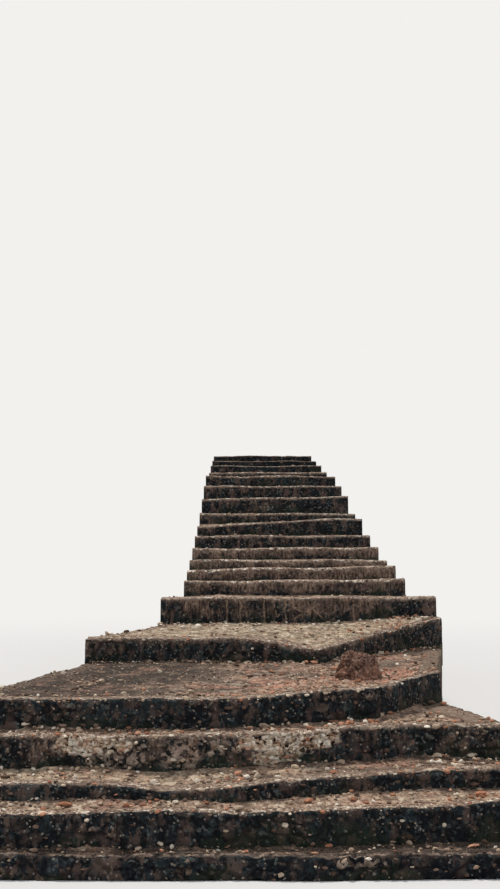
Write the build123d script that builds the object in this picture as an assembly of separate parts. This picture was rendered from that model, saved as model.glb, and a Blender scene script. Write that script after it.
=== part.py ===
from build123d import *

import math
import os
from dataclasses import dataclass, field

# Old outdoor stone steps that climb a slope: six broad lower steps with two landings, then a
# narrower upper flight. Each step is a masonry kerb with a worn nosing and a packed bed behind it.
# Sizes are in millimetres. X runs across the steps, Y uphill and Z up.

# Ends of the broad lower kerbs and of the two kerbs of the landing.
LOWER_LEFT = -2000
LOWER_RIGHT = 1850
LANDING_LEFT = -1350
LANDING_RIGHT = 1790
TALL_LEFT = -860

# Kerbs, the low walls that make the risers.
LEDGE_KERB = 95
THIN_KERB = 125
LOWER_KERB = 175
LANDING_KERB = 240
UPPER_KERB = 200
BATTER = 16
NOSING_RADIUS = 30
NOSING_SHARE = 0.45

# Beds, the packed gravel and earth of the treads.
BED_DEPTH = 130
BED_LIP = 6
BED_SAG = 7
BED_FALL = 0.02
WEAR_SHARE = 0.3

# Walls that close the sides and the back, down to the lowest ground.
SIDE_WALL = 200
BACK_WALL = 260
TOP_LANDING = 1000

# Unevenness of old hand-built kerbs.
WAVE_BACK = 9
WAVE_UP = 6
WAVE_LENGTH = 1150
WAVE_SHIFT = 2.1

# Straight runs of masonry that one kerb is laid in.
KERB_RUNS = 8

# The lower flight: its usual run and rise, and how far its right ends bend uphill and lift.
LOWER_RUN = 300
LOWER_RISE = 200
LOWER_BEND = 300
LOWER_LIFT = 50

# Front edges of the lower kerbs: shares of the way across, of the bend and of the lift.
LEDGE_LINE = [(0, 0.07, 0), (0.6, 0, 0), (1, 0.2, 0)]
SECOND_LINE = [(0.15, 0, 0), (0.62, 0.17, 0.1), (0.88, 0.5, 0.5), (1, 0.9, 1)]
THIRD_LINE = [(0.72, 0.77, 0.2), (0.93, 1, 0.6)]
FOURTH_LINE = [(0.45, 0, 0), (0.54, 0.2, 0.1), (0.68, 0.63, 0.2), (0.75, 1.07, 0.4), (0.92, 1.17, 0.4)]
FIFTH_LINE = [(0.48, 0, 0), (0.57, 0.23, 0), (0.73, 1, 0.2), (0.83, 1.43, 0.4), (0.88, 2.43, 0.6), (1, 4.33, 0.8)]

# The landing: the run up to it, its depth to the tall kerb, and the two rises.
LANDING_RUN = 2080
LANDING_RISE = 220
LANDING_DEPTH = 1750
TALL_RISE = 261

# The landing's front edge turns uphill at this corner, until so much of its bed is left.
LANDING_CORNER_X = 540
LANDING_CORNER_OUT = 100
LANDING_CORNER_DROP = 75
LANDING_END_BED = 110
LANDING_END_UP = 95
LANDING_FOOT_UP = 85

# The trough that feet have worn in the third kerb, and the hollows broken out of the fourth.
TROUGH_X = -370
TROUGH_WIDTH = 800
TROUGH_DROP = 64
HOLLOW_DEPTH = 45
HOLLOW_X = 290
HOLLOW_WIDTH = 640
SMALL_HOLLOW_X = -1010
SMALL_HOLLOW_WIDTH = 380

# Ends of the upper flight, which grows narrower on its way up.
UPPER_LEFT_LOW = -660
UPPER_LEFT_HIGH = -520
UPPER_RIGHT_LOW = 1550
UPPER_RIGHT_HIGH = 880

# The upper flight: its usual run and rise, and each step's shares of them, above the tall kerb.
UPPER_RUN = 370
UPPER_RISE = 120
UPPER_STEPS = [
    (1.19, 1.12), (0.95, 0.9), (0.89, 0.81), (1.03, 0.95), (1, 1.22), (1.03, 1.32), (1, 0.88),
    (1.03, 1.53), (1, 1.45), (1.03, 1.2), (2.43, 0.79), (0.97, 0.95), (0.97, 0.71), (0.97, 0.81),
]

# Kerbs of the upper flight that have sunk at their left ends or worn uneven, and by how much.
UPPER_LIFT = 40
UPPER_SUNK = {0: 0.6, 1: 1, 3: 0.55, 7: 0.9}
UPPER_WORN = {5: [(0.11, 0, -1.2), (0.45, 0, 0.15), (0.9, 0.5, 1)]}

# The lump of fallen masonry that lies on the lower landing.
BLOCK_X = 815
BLOCK_BEHIND_KERB = 1180
BLOCK_WIDTH = 400
BLOCK_DEPTH = 340
BLOCK_HEIGHT = 215
BLOCK_CORNERS = 9
BLOCK_UNEVEN = 0.08


@dataclass
class Step:
    """One step: its run from the step below, its rise, its two ends and its kerb.

    The edge is a list of (x, back, up) points that the nosing runs through, measured from a
    straight and level line. The foot is a list of (x, up) points of the bed's back edge.
    A hollow is (x, width, depth), broken out of the kerb's face.
    """

    run: float
    rise: float
    left: float
    right: float
    kerb: float
    edge: list = field(default_factory=lambda: [(0, 0, 0)])
    foot: list = field(default_factory=list)
    hollows: list = field(default_factory=list)
    number: int = 0
    y: float = 0
    z: float = 0


def between(points, x):
    """Read a list of points at x, in straight lines from point to point."""
    if x <= points[0][0]:
        return points[0]
    for low, high in zip(points, points[1:]):
        if x <= high[0]:
            share = (x - low[0]) / (high[0] - low[0])
            return [start + share * (end - start) for start, end in zip(low, high)]
    return points[-1]


def line(step, shares, bend, lift):
    """Points of a step's front edge, from shares of its width, of a bend and of a lift."""
    width = step.right - step.left
    return [(step.left + across * width, back * bend, up * lift) for across, back, up in shares]


def lower_flight():
    """The ledge at the bottom and the four broad kerbs above it."""
    ledge = Step(0, 0.62 * LOWER_RISE, LOWER_LEFT, LOWER_RIGHT, LEDGE_KERB)
    second = Step(0.54 * LOWER_RUN, 0.985 * LOWER_RISE, LOWER_LEFT, LOWER_RIGHT, THIN_KERB)
    third = Step(1.01 * LOWER_RUN, 0.57 * LOWER_RISE, LOWER_LEFT, 0.97 * LOWER_RIGHT, LOWER_KERB)
    fourth = Step(1.43 * LOWER_RUN, 1.05 * LOWER_RISE, LOWER_LEFT, 0.93 * LOWER_RIGHT, THIN_KERB)
    fifth = Step(0.83 * LOWER_RUN, 0.985 * LOWER_RISE, 0.975 * LOWER_LEFT, 0.78 * LOWER_RIGHT, LOWER_KERB)
    steps = [ledge, second, third, fourth, fifth]
    for step, shares in zip(steps, (LEDGE_LINE, SECOND_LINE, THIRD_LINE, FOURTH_LINE, FIFTH_LINE)):
        step.edge = line(step, shares, LOWER_BEND, LOWER_LIFT)
    lip = TROUGH_DROP / 10
    trough_left, trough_right = TROUGH_X - TROUGH_WIDTH / 2, TROUGH_X + TROUGH_WIDTH / 2
    trough = [(trough_left, 0, -lip), (TROUGH_X, 0, -TROUGH_DROP), (trough_right, lip, -lip)]
    third.edge = trough + third.edge
    fourth.hollows = [
        (SMALL_HOLLOW_X, SMALL_HOLLOW_WIDTH, HOLLOW_DEPTH),
        (HOLLOW_X, HOLLOW_WIDTH, HOLLOW_DEPTH),
    ]
    return steps


def landing():
    """The landing's low kerb, which turns uphill at a corner, and the tall kerb behind the landing."""
    end_back = LANDING_DEPTH - LANDING_KERB - LANDING_END_BED
    front = Step(LANDING_RUN, LANDING_RISE, LANDING_LEFT, LANDING_RIGHT, LANDING_KERB)
    front.edge = [
        (LANDING_LEFT, 0, WAVE_UP),
        (0, 0, 2 * WAVE_UP),
        (LANDING_CORNER_X, -LANDING_CORNER_OUT, -LANDING_CORNER_DROP),
        (LANDING_RIGHT, end_back, LANDING_END_UP),
    ]
    front.foot = [
        (TALL_LEFT, 0.1 * LANDING_FOOT_UP),
        (LANDING_CORNER_X, 0.14 * LANDING_FOOT_UP),
        (LANDING_RIGHT, LANDING_FOOT_UP),
    ]
    tall = Step(LANDING_DEPTH, TALL_RISE, TALL_LEFT, LANDING_RIGHT, LANDING_KERB)
    return [front, tall]


def upper_flight():
    """The narrower flight, whose ends draw in evenly from its lowest step to its highest."""
    steps = []
    for index, (run, rise) in enumerate(UPPER_STEPS):
        share = index / (len(UPPER_STEPS) - 1)
        left = UPPER_LEFT_LOW + share * (UPPER_LEFT_HIGH - UPPER_LEFT_LOW)
        right = UPPER_RIGHT_LOW + share * (UPPER_RIGHT_HIGH - UPPER_RIGHT_LOW)
        steps.append(Step(run * UPPER_RUN, rise * UPPER_RISE, left, right, UPPER_KERB))
    for index, sunk in UPPER_SUNK.items():
        steps[index].edge = line(steps[index], [(0, 0, 0), (1, 0, sunk)], 0, UPPER_LIFT)
    for index, shares in UPPER_WORN.items():
        steps[index].edge = line(steps[index], shares, UPPER_LIFT, UPPER_LIFT)
    return steps


def place(steps):
    """Number the steps and add up their runs and rises."""
    y = z = 0
    for number, step in enumerate(steps, start=1):
        y += step.run
        z += step.rise
        step.number, step.y, step.z = number, y, z
    return steps


STEPS = place(lower_flight() + landing() + upper_flight())


def stations(step):
    """Places across a step: both faces of each side wall, and even runs between them."""
    inner_left = step.left + SIDE_WALL
    inner_width = step.right - SIDE_WALL - inner_left
    inner = [inner_left + inner_width * run / KERB_RUNS for run in range(KERB_RUNS + 1)]
    return [step.left, *inner, step.right]


def wave(step, x, shift):
    """A slow wave along a kerb, from -1 to 1, that starts elsewhere on each step."""
    return math.sin(2 * math.pi * x / WAVE_LENGTH + step.number * WAVE_SHIFT + shift)


def front(step, x):
    """Y of the kerb's front face at its foot."""
    _, uphill, _ = between(step.edge, x)
    return step.y + uphill + WAVE_BACK * wave(step, x, 0)


def back(step, x):
    """Y of the kerb's back face."""
    return front(step, x) + step.kerb


def top(step, x):
    """Z of the kerb's top."""
    _, _, up = between(step.edge, x)
    return step.z + up + WAVE_UP * wave(step, x, 1)


def bed_bottom(step):
    """Z of the underside of a step's bed, and of the kerb behind that bed."""
    return max(0, step.z - BED_DEPTH)


def bed_back(step, x, depth):
    """Z of the bed's back edge, at the foot of the next kerb, where the wear has faded."""
    if step.foot:
        _, up = between(step.foot, x)
        return step.z + up
    _, _, up = between(step.edge, x)
    return step.z - BED_LIP + WEAR_SHARE * up + BED_FALL * depth


def hollow(step, x):
    """Depth of the hollows broken out of a kerb's face at x: deepest in the middle of each."""
    depth = 0
    for middle, width, deepest in step.hollows:
        away = abs(x - middle) / (width / 2)
        depth += deepest * max(0, 1 - away**2)
    return depth


def closed_wire(points):
    """A closed outline of straight edges."""
    return Wire(Polyline(*points, close=True).edges())


def faceted(outlines):
    """A solid whose outlines stand side by side, with two flat triangles between each pair of edges."""
    faces = [Face(closed_wire(outlines[0])), Face(closed_wire(outlines[-1]))]
    for near, far in zip(outlines, outlines[1:]):
        for index, start in enumerate(near):
            end = (index + 1) % len(near)
            faces.append(Face(closed_wire([start, near[end], far[end]])))
            faces.append(Face(closed_wire([start, far[end], far[index]])))
    return Solid(Shell(faces))


def kerb_section(step, x, foot, bottom):
    """Outline of a kerb across its length: leaning face, hollow, round nosing, flat top and back."""
    face, height = front(step, x), top(step, x)
    radius = min(NOSING_RADIUS, NOSING_SHARE * (height - foot))
    nose_start = Vector(x, face + BATTER, height - radius)
    nose_end = Vector(x, face + BATTER + radius, height)
    bend = radius * (1 - math.sqrt(0.5))
    nose_middle = Vector(x, face + BATTER + bend, height - bend)
    belly = Vector(x, face + BATTER / 2 + hollow(step, x), (foot + height - radius) / 2)
    start = [Vector(x, face, bottom)] if foot > bottom else []
    line = Polyline(
        nose_end, (x, back(step, x), height), (x, back(step, x), bottom), *start, (x, face, foot), belly, nose_start
    )
    return Wire(line.edges() + [ThreePointArc(nose_start, nose_middle, nose_end)])


def kerb(step, below):
    """A whole kerb, lofted in straight runs from end to end of its step."""
    sections = []
    for x, x_below in zip(stations(step), stations(below) if below else stations(step)):
        foot = bed_back(below, x_below, front(step, x) - back(below, x_below)) if below else 0
        bottom = bed_bottom(below) if below else 0
        sections.append(kerb_section(step, x, foot, bottom))
    return Solid.make_loft(sections, ruled=True)


def bed_outline(step, x, x_behind, y_behind, bottom):
    """Corners of a bed's outline from front to back, sagging a little in its middle."""
    start = back(step, x)
    high = top(step, x) - BED_LIP
    end = bed_back(step, x, y_behind - start)
    middle = ((x + x_behind) / 2, (start + y_behind) / 2, (high + end) / 2 - BED_SAG)
    return [(x, start, bottom), (x, start, high), middle, (x_behind, y_behind, end), (x_behind, y_behind, bottom)]


def behind(step):
    """The (x, y) places on the front of whatever stands behind a step's bed."""
    if step is STEPS[-1]:
        return [(x, step.y + step.kerb + TOP_LANDING) for x in stations(step)]
    following = STEPS[step.number]
    return [(x, front(following, x)) for x in stations(following)]


def bed_outlines(step, bottom):
    """The bed's outlines at every station, the side walls' faces included."""
    places = zip(stations(step), behind(step))
    return [bed_outline(step, x, x_behind, y_behind, bottom) for x, (x_behind, y_behind) in places]


def bed(step):
    """The packed bed of a tread, between the side walls, which start behind the lowest bed."""
    outlines = bed_outlines(step, bed_bottom(step))
    if step is not STEPS[0]:
        outlines = outlines[1:-1]
    return faceted(outlines)


def prism(points, height):
    """An upright block on a plan outline, from the ground to a height."""
    return extrude(Face(closed_wire([(x, y, 0) for x, y in points])), height, dir=(0, 0, 1))


def footing(step, chosen):
    """The block of wall or core under part of a kerb, or nothing on the lowest ground."""
    height = bed_bottom(STEPS[step.number - 2])
    xs = [stations(step)[index] for index in chosen]
    outline = [(x, front(step, x)) for x in xs] + [(x, back(step, x)) for x in reversed(xs)]
    return [prism(outline, height)] if height > 0 else []


def side_wall(first, second):
    """A wall between two neighbouring stations, stepped like the treads, up to the back wall."""
    blocks = []
    for step in STEPS[1:]:
        outlines = bed_outlines(step, 0)
        blocks.append(faceted([outlines[first], outlines[second]]))
        blocks += footing(step, (first, second))
    return blocks[0].fuse(*blocks[1:])


def core():
    """The rubble and earth that fills the flight under its beds and kerbs."""
    inner = range(1, KERB_RUNS + 2)
    blocks = []
    for step in STEPS:
        if bed_bottom(step) > 0:
            xs = stations(step)
            outline = [(xs[index], back(step, xs[index])) for index in inner]
            outline += [behind(step)[index] for index in reversed(inner)]
            blocks.append(prism(outline, bed_bottom(step)))
            blocks += footing(step, inner)
    return blocks[0].fuse(*blocks[1:])


def back_wall():
    """The plain wall that closes the back of the top landing."""
    last = STEPS[-1]
    y = behind(last)[0][1]
    height = bed_back(last, 0, TOP_LANDING)
    return prism([(last.left, y), (last.right, y), (last.right, y + BACK_WALL), (last.left, y + BACK_WALL)], height)


def block_ring(y, z, share):
    """One uneven ring round the fallen lump, as a polygon with three slight bulges."""
    corners = []
    for corner in range(BLOCK_CORNERS):
        turn = 2 * math.pi * corner / BLOCK_CORNERS
        reach = share / 2 * (1 + BLOCK_UNEVEN * math.sin(3 * turn))
        corners.append((BLOCK_X + reach * BLOCK_WIDTH * math.cos(turn), y + reach * BLOCK_DEPTH * math.sin(turn), z))
    return corners


def fallen_block(seat):
    """A worn lump of masonry, built up in rings and cut to the bed that it lies on."""
    step = STEPS[4]
    y = step.y + BLOCK_BEHIND_KERB
    rings = []
    for height, share in ((-0.3, 0.86), (0.25, 0.96), (0.65, 0.84), (0.92, 0.5), (1, 0.16)):
        rings.append(block_ring(y, step.z + height * BLOCK_HEIGHT, share))
    return faceted(rings) - seat


def build():
    """Make every piece, by name."""
    pieces = {}
    for step in STEPS:
        below = STEPS[step.number - 2] if step.number > 1 else None
        pieces[f"kerb_{step.number:02d}"] = kerb(step, below)
        pieces[f"tread_{step.number:02d}"] = bed(step)
    pieces["rubble_core"] = core()
    pieces["left_side_wall"] = side_wall(0, 1)
    pieces["right_side_wall"] = side_wall(-2, -1)
    pieces["back_wall"] = back_wall()
    pieces["fallen_block"] = fallen_block(pieces["tread_05"])
    return pieces


def main():
    """Set the steps over the middle of their base and write one file for each piece."""
    os.makedirs("parts", exist_ok=True)
    pieces = build()
    box = Compound(list(pieces.values())).bounding_box()
    middle = box.center()
    for name, piece in pieces.items():
        placed = Pos(-middle.X, -middle.Y, 0) * piece
        export_step(placed, f"parts/{name}.step")
    print("overall size", box.size)


main()
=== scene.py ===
"""Looks of old outdoor stone steps: kerbs with worn nosings, packed beds, loose chips and rubble walls.

Every length is in metres, in the frame's own axes: X across the steps, Y uphill and Z up.
"""

import logging
import math
from collections.abc import Sequence
from dataclasses import dataclass, field
from enum import Enum
from itertools import combinations
from typing import ClassVar

import bpy
import numpy as np
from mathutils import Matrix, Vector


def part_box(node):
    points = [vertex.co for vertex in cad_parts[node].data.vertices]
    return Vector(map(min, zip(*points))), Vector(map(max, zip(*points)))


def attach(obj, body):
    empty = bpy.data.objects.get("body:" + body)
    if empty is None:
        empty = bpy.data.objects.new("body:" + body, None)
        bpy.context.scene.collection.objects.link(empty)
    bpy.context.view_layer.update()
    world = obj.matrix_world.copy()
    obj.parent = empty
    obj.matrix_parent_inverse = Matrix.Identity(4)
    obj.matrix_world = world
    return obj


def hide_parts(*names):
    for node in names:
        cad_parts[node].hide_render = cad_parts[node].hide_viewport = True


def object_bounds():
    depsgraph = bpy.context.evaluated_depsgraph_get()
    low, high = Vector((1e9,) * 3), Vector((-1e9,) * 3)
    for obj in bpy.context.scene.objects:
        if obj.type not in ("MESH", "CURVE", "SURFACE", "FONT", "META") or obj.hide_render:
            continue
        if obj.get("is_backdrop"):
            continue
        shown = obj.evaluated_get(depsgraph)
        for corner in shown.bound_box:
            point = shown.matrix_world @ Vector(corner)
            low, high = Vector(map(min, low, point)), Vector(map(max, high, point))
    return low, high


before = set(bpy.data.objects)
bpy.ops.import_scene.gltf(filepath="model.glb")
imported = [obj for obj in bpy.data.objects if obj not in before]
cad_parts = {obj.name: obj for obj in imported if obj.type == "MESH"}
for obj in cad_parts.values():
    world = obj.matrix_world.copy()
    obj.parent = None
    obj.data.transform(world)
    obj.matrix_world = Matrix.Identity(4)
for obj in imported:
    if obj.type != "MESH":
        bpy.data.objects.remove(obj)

log = logging.getLogger("steps")

Array = np.ndarray

STEP_COUNT = 21
LAST_BROAD_KERB = 6
ROOT = "root"

# The kerbs' cross-section, as it is built.
BATTER = 0.016
NOSING_RADIUS = 0.030
NOSING_SHARE = 0.45
BED_LIP = 0.006
BED_SAG = 0.007

# How near a kerb's points lie together on its underside, between stations, at one and on one line.
UNDERSIDE, STATION_GAP, AT_STATION, ON_LINE = 0.0005, 0.005, 0.001, 0.0008

# The eye stands this far in front of the back wall's outer face, and this far left of its middle.
EYE_TO_BACK = 19.140
EYE_LEFT_OF_BACK = 0.180
EYE_HEIGHT = 1.875
EYE_PITCH_DEGREES = 4.42
LENS = 50.01
SENSOR = 36.0

# How whole numbers are mixed into random ones: the bits that are kept, and the factors and shifts.
WORD = 0xFFFFFFFF
SEED_FACTOR, SEED_START = 40503, 977
PLACE_FACTORS = (73856093, 19349663, 83492791)
MIXES = ((15, 668265263), (13, 374761393))


def scatter(x: Array, y: Array, z: Array | int, seed: int) -> Array:
    """Give every whole-number place a fixed random number from 0 to 1.

    The three numbers are multiplied by large primes, joined by exclusive-or and mixed twice.

    Args:
        x: Whole numbers along the first axis.
        y: Whole numbers along the second axis.
        z: Whole numbers along the third axis, or one number.
        seed: Which set of random numbers to use.

    Returns:
        The random numbers, in the shape of the places.
    """
    key = seed * SEED_FACTOR + SEED_START
    for number, factor in zip((x, y, z), PLACE_FACTORS):
        key = (key ^ (number & WORD) * factor) & WORD
    for shift, factor in MIXES:
        key = ((key ^ (key >> shift)) * factor) & WORD
    return ((key ^ (key >> 16)) & 0xFFFF) / 0xFFFF


def noise(places: Array, size: float, seed: int) -> Array:
    """Smooth noise from -1 to 1.

    Random numbers on a lattice of the given size are blended in each direction by 3t² - 2t³.

    Args:
        places: Points, as (..., 3).
        size: Spacing of the lattice.
        seed: Which noise to use.

    Returns:
        One value for each point.
    """
    scaled = places / size
    cell = np.floor(scaled).astype(np.int64)
    part = scaled - cell
    blend = part * part * (3 - 2 * part)
    total = np.zeros(places.shape[:-1])
    for corner in np.ndindex(2, 2, 2):
        weight = np.ones_like(total)
        for axis, side in enumerate(corner):
            weight = weight * (blend[..., axis] if side else 1 - blend[..., axis])
        total += weight * scatter(*(cell[..., axis] + corner[axis] for axis in range(3)), seed)
    return 2 * total - 1


def layered(places: Array, size: float, seed: int, layers: int = 3) -> Array:
    """Noise in layers, each half as large and half as strong as the one before, from about -1 to 1.

    Args:
        places: Points, as (..., 3).
        size: Spacing of the coarsest layer.
        seed: Which noise to use.
        layers: How many layers there are.

    Returns:
        One value for each point.
    """
    total = np.zeros(places.shape[:-1])
    for layer in range(layers):
        total += noise(places, size / 2**layer, seed + layer) / 2**layer
    return total / (2 - 2 ** (1 - layers))


def rubble(u: Array, v: Array, size: tuple[float, float], seed: int) -> tuple[Array, Array]:
    """Rubble stones laid in staggered rows.

    Each stone has a centre near the middle of its place in the row. A point's joint value is its
    second nearest distance less its nearest, so it is 0 along the joints and grows into a stone.

    Args:
        u: Distance along the wall.
        v: Distance up the wall.
        size: Mean length and height of a stone.
        seed: Which wall to lay.

    Returns:
        The joint value, about 0 to 0.6, and a random number that belongs to each stone.
    """
    across, up = u / size[0], v / size[1]
    row = np.floor(up).astype(np.int64)
    nearest, second, tint = (np.full(across.shape, value) for value in (9.0, 9.0, 0.0))
    for row_step in (-1, 0, 1):
        this_row = row + row_step
        stagger = 0.5 * (this_row % 2)
        column = np.floor(across - stagger).astype(np.int64)
        for column_step in (-1, 0, 1):
            place = column + column_step
            centre_u = place + stagger + 0.5 + 0.62 * (scatter(place, this_row, 1, seed) - 0.5)
            centre_v = this_row + 0.5 + 0.5 * (scatter(place, this_row, 2, seed) - 0.5)
            distance = np.hypot(across - centre_u, up - centre_v)
            closer = distance < nearest
            second = np.where(closer, nearest, np.minimum(second, distance))
            tint = np.where(closer, scatter(place, this_row, 3, seed), tint)
            nearest = np.where(closer, distance, nearest)
    return second - nearest, tint


def soft_step(value: Array, low: float, high: float) -> Array:
    """Rise smoothly from 0 at low to 1 at high, by 3t² - 2t³."""
    t = np.clip((value - low) / (high - low), 0, 1)
    return t * t * (3 - 2 * t)


def packed(x: Array, y: Array) -> tuple[Array, Array]:
    """How packed gravel lies at places seen from above.

    Args:
        x: Places across the steps.
        y: Places uphill.

    Returns:
        The height of its slow waves, and the height of its grit.
    """
    flat = np.stack([x, y, np.zeros_like(x)], axis=-1)
    waves = 0.010 * layered(flat, 0.45, 3) + 0.0055 * layered(flat, 0.085, 8, 2)
    return waves, 0.0040 * noise(flat, 0.030, 12)


def colour(code: str) -> tuple[float, float, float, float]:
    """Turn a six-digit screen colour into the linear colour that a shader takes.

    Args:
        code: Red, green and blue, in two hexadecimal digits each.

    Returns:
        Red, green and blue in linear light, from 0 to 1, and an opacity of 1.
    """
    parts = (int(code[place : place + 2], 16) / 255 for place in (0, 2, 4))
    linear = [part / 12.92 if part <= 0.04045 else ((part + 0.055) / 1.055) ** 2.4 for part in parts]
    return (*linear, 1.0)


def grid_quads(number: Array) -> Array:
    """Quads of a grid of numbered points, wound from its rows towards its columns."""
    corners = (number[:-1, :-1], number[1:, :-1], number[1:, 1:], number[:-1, 1:])
    return np.stack(corners, axis=-1).reshape(-1, 4)


@dataclass
class Surface:
    """Points, faces and named point values of a mesh in the making.

    The limit is the frame's own box, which nothing reaches out of.
    """

    limit: ClassVar[tuple[Array, Array]]
    points: list[Array] = field(default_factory=list)
    faces: list[Array] = field(default_factory=list)
    caps: list[list[int]] = field(default_factory=list)
    values: dict[str, list[Array]] = field(default_factory=dict)
    count: int = 0

    def add(self, points: Array, quads: Array, caps: Sequence[Array] = (), **values: Array) -> None:
        """Add a patch, with what lies outside the limit brought back to its faces.

        Args:
            points: Its points, as (..., 3).
            quads: Its faces, numbered from 0 at its own first point.
            caps: Closing faces of many corners, numbered the same way.
            values: Its named point values, in the shape of its points.
        """
        flat = np.clip(points, *self.limit).reshape(-1, 3)
        self.points.append(flat)
        self.faces.append(quads + self.count)
        self.caps += [[int(corner) + self.count for corner in cap] for cap in caps]
        for name, value in values.items():
            self.values.setdefault(name, []).append(np.broadcast_to(value, points.shape[:-1]).reshape(-1))
        self.count += len(flat)

    def add_tube(self, points: Array, turned: bool = False, **values: Array) -> None:
        """Add a profile that is carried along a path and closed all round and at both ends.

        Args:
            points: Its points, as (along, round, 3).
            turned: Whether the profile runs the other way round, so that its faces are turned over.
            values: Its named point values, in the shape of its points.
        """
        number = np.arange(points[..., 0].size).reshape(points.shape[:2])
        quads = grid_quads(np.concatenate((number, number[:, :1]), axis=1))
        caps = [number[0], number[-1][::-1]]
        if turned:
            quads, caps = quads[:, ::-1], [cap[::-1] for cap in caps]
        self.add(points, quads, caps, **values)

    def make(self, name: str, slot: str, material: bpy.types.Material, replaced: Sequence[str] = ()) -> None:
        """Turn the patches into one object that rides on the steps.

        What stands for a node is shaded smoothly, and what is strewn on it isn't.

        Args:
            name: The object's name.
            slot: The record's material slot; not used.
            material: Its finish.
            replaced: Nodes of the frame that it stands for.
        """
        points = np.concatenate(self.points)
        corners = [*np.concatenate(self.faces).tolist(), *self.caps]
        mesh = bpy.data.meshes.new(name)
        mesh.from_pydata(points.tolist(), [], corners)
        for key, parts in self.values.items():
            values = np.concatenate(parts).astype(np.float32)
            mesh.attributes.new(key, "FLOAT", "POINT").data.foreach_set("value", values)
        mesh.polygons.foreach_set("use_smooth", np.full(len(mesh.polygons), bool(replaced)))
        mesh.materials.append(material)
        mesh.update()
        piece = bpy.data.objects.new(name, mesh)
        bpy.context.scene.collection.objects.link(piece)
        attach(piece, ROOT)
        if replaced:
            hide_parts(*replaced)
        log.info("%s: %d points, %d faces", name, len(points), len(corners))


@dataclass
class KerbLine:
    """Lines of one kerb at places along it: x, then y of its front and back, then z of its heights."""

    x: Array
    front: Array
    back: Array
    bottom: Array
    foot: Array
    top: Array

    @classmethod
    def read(cls, node: str) -> "KerbLine":
        """Read the lines from a kerb of the frame, whose underside has corners only at its stations.

        Args:
            node: The kerb's node.

        Returns:
            The lines, with one value at each station.
        """
        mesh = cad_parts[node].data
        flat = np.empty(len(mesh.vertices) * 3, dtype=np.float32)
        mesh.vertices.foreach_get("co", flat)
        points = flat.reshape(-1, 3).astype(float)
        base = points[points[:, 2] < points[:, 2].min() + UNDERSIDE]
        xs = np.sort(base[:, 0])
        stations = [group.mean() for group in np.split(xs, np.flatnonzero(np.diff(xs) > STATION_GAP) + 1)]
        lines = []
        for x in stations:
            here, low = (group[np.abs(group[:, 0] - x) < AT_STATION] for group in (points, base))
            front, back = low[:, 1].min(), low[:, 1].max()
            foot, top = (here[np.abs(here[:, 1] - y) < ON_LINE, 2].max() for y in (front, back))
            lines.append((x, front, back, low[0, 2], foot, top))
        return cls(*np.array(lines).T)

    def inner(self) -> "KerbLine":
        """The same lines without the ends that stand on the side walls."""
        return KerbLine(*(value[1:-1] for value in vars(self).values()))

    def at(self, share: Array) -> "KerbLine":
        """Read the lines at shares of the kerb's width, from 0 at the left to 1 at the right."""
        place = self.x[0] + share * (self.x[-1] - self.x[0])
        return KerbLine(*(np.interp(place, self.x, value) for value in vars(self).values()))

    def length(self) -> float:
        """Length of the front line in plan."""
        return float(np.hypot(np.diff(self.x), np.diff(self.front)).sum())


class Make(Enum):
    """How the kerbs of a stretch are built: rubble shows more or less through their render."""

    RAGGED = (0.50, 0.018, 0.026)
    BROAD = (0.32, 0.015, 0.021)
    SMOOTH = (-0.25, 0.006, 0.005)

    def __init__(self, shown: float, relief: float, bites: float) -> None:
        """Keep what belongs to one way of building.

        Args:
            shown: How far the rubble shows, added to noise from about -1 to 1.
            relief: How deep its joints are.
            bites: How deep the nosing is bitten.
        """
        self.shown = shown
        self.relief = relief
        self.bites = bites


@dataclass(frozen=True)
class Wear:
    """How one kerb has weathered, and how much painted shade and highlight it takes.

    It has its dampness, which is partly painted shade on the kerbs that lie in shade, how pale its
    nosing is worn, which is partly a painted highlight, how far down its face the dust reaches, and
    where the pale band starts, as a distance past the nosing's middle.
    """

    damp: float
    worn: float
    dust: float
    band: float = -0.014


@dataclass(frozen=True)
class Hollow:
    """A place where a kerb's face has broken out, from low to high, and how bare its rubble is."""

    x: float
    width: float
    depth: float
    low: float
    high: float
    bare: float = 1.0


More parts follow.
